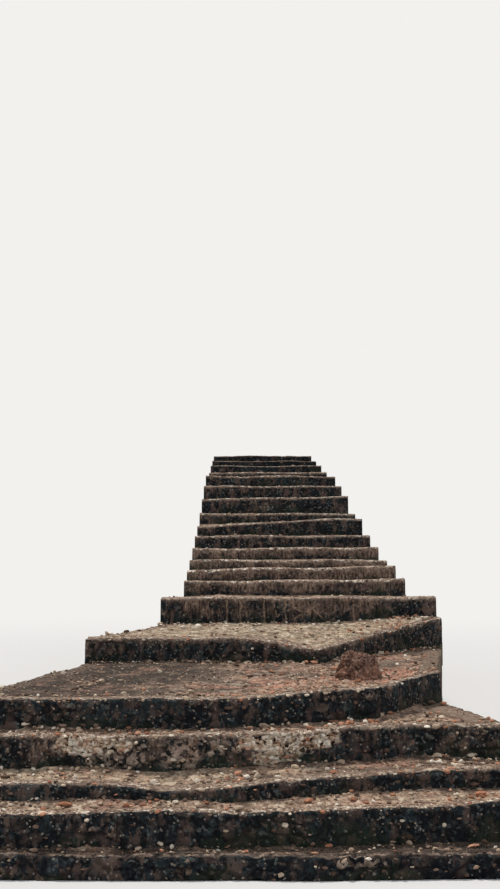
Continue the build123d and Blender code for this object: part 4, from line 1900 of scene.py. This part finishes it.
def kerb_makes(lines: list[KerbLine]) -> list[Kerb]:
    """Choose how each kerb is built: ragged at the bottom, smoother up the narrow flight.

    Args:
        lines: The kerbs' lines, from the bottom up.

    Returns:
        The kerbs.
    """
    kerbs = []
    for number, line in enumerate(lines, start=1):
        broad = number <= LAST_BROAD_KERB
        make = Make.RAGGED if number == 1 else Make.BROAD if broad else Make.SMOOTH
        along, up = (0.010, 0.009) if broad else (0.013, 0.012)
        # Dampness rises up the flight, partly as painted shade, since the top of the flight lies in shade.
        wear = WEARS.get(number, Wear(0.50 + 0.04 * (number - 12), 0.8, 0.025))
        kerbs.append(Kerb(number, line, make, wear, HOLLOWS.get(number, ()), along, up))
    return kerbs


def lime_runs() -> tuple[Stroke, ...]:
    """The strokes of lime on the tall kerb."""
    drips = (Stroke((x, DRIP_TOP), (x + DRIP_LEAN, DRIP_FOOT), DRIP_WIDTH) for x in DRIPS)
    return (*drips, *(Stroke(start, end, CRACK_WIDTH) for start, end in CRACKS))


def strew_chips(whole: list[Bed], kerbs: list[Kerb], finish: bpy.types.Material) -> None:
    """Strew the loose chips on the beds, and set the stones that stand out of the kerbs.

    Args:
        whole: The beds with the side walls' tops, from the bottom up.
        kerbs: The kerbs, from the bottom up.
        finish: The chips' finish.
    """
    lower = Pebbles("chips_lower", "packed_bed", 7)
    lower.strew(whole[:4], LOWER_CHIPS)
    landing = Pebbles("chips_landing", "packed_bed", 9)
    landing.strew(whole[4:5], LANDING_CHIPS)
    upper = Pebbles("chips_upper", "packed_bed", 8)
    upper.strew(whole[5:6], PALE_CHIPS)
    upper.lay(Chip.WHITE, whole[5].place(*WHITE_PIECES.T))
    upper.strew(whole[6:], UPPER_CHIPS)
    stones = Pebbles("stones_in_kerb_faces", "kerb_masonry", 11)
    for kerb in kerbs[:LAST_BROAD_KERB]:
        stones.fill(kerb, FACE_STONES_PER_SQUARE_METRE, FACE_STONES)
    for kerb in kerbs[1:LAST_BROAD_KERB]:
        stones.edge(kerb, NOSING_STONES_PER_METRE, NOSING_STONES)
    for kerb in kerbs[LAST_BROAD_KERB:LAST_GRITTY_KERB]:
        stones.edge(kerb, NOSING_GRIT_PER_METRE, NOSING_GRIT)
    for pebbles in (lower, landing, upper, stones):
        pebbles.build(finish)


def main() -> None:
    """Build every piece in order, from the kerbs to the studio."""
    logging.basicConfig(level=logging.INFO, format="%(message)s")
    low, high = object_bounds()
    Surface.limit = (np.array(low), np.array(high))
    effects = Effects()
    kerb_finish = KerbFinish("kerb_masonry", effects, strokes=lime_runs()).build()
    lump_finish = LumpFinish("fallen_masonry", effects).build()
    bed_finish = BedFinish("packed_bed", effects).build()
    wall_finish = WallFinish("wall_masonry", effects).build()
    chip_finish = ChipFinish("loose_chips", effects).build()
    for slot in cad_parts["rubble_core"].material_slots:
        slot.material = CoreFinish("core_fill", effects).build()
    lines, beds, whole = read_steps()
    kerbs = kerb_makes(lines)
    sides = [SideWall("left_side_wall", -1, 301, lines), SideWall("right_side_wall", 1, 302, lines)]
    groups = ((kerbs, kerb_finish), (beds, bed_finish), ([*sides, BackWall()], wall_finish))
    for pieces, finish in (*groups, ([FallenBlock()], lump_finish)):
        for piece in pieces:
            piece.build(finish)
    strew_chips(whole, kerbs, chip_finish)
    Studio().build()


if __name__ == "__main__":
    main()
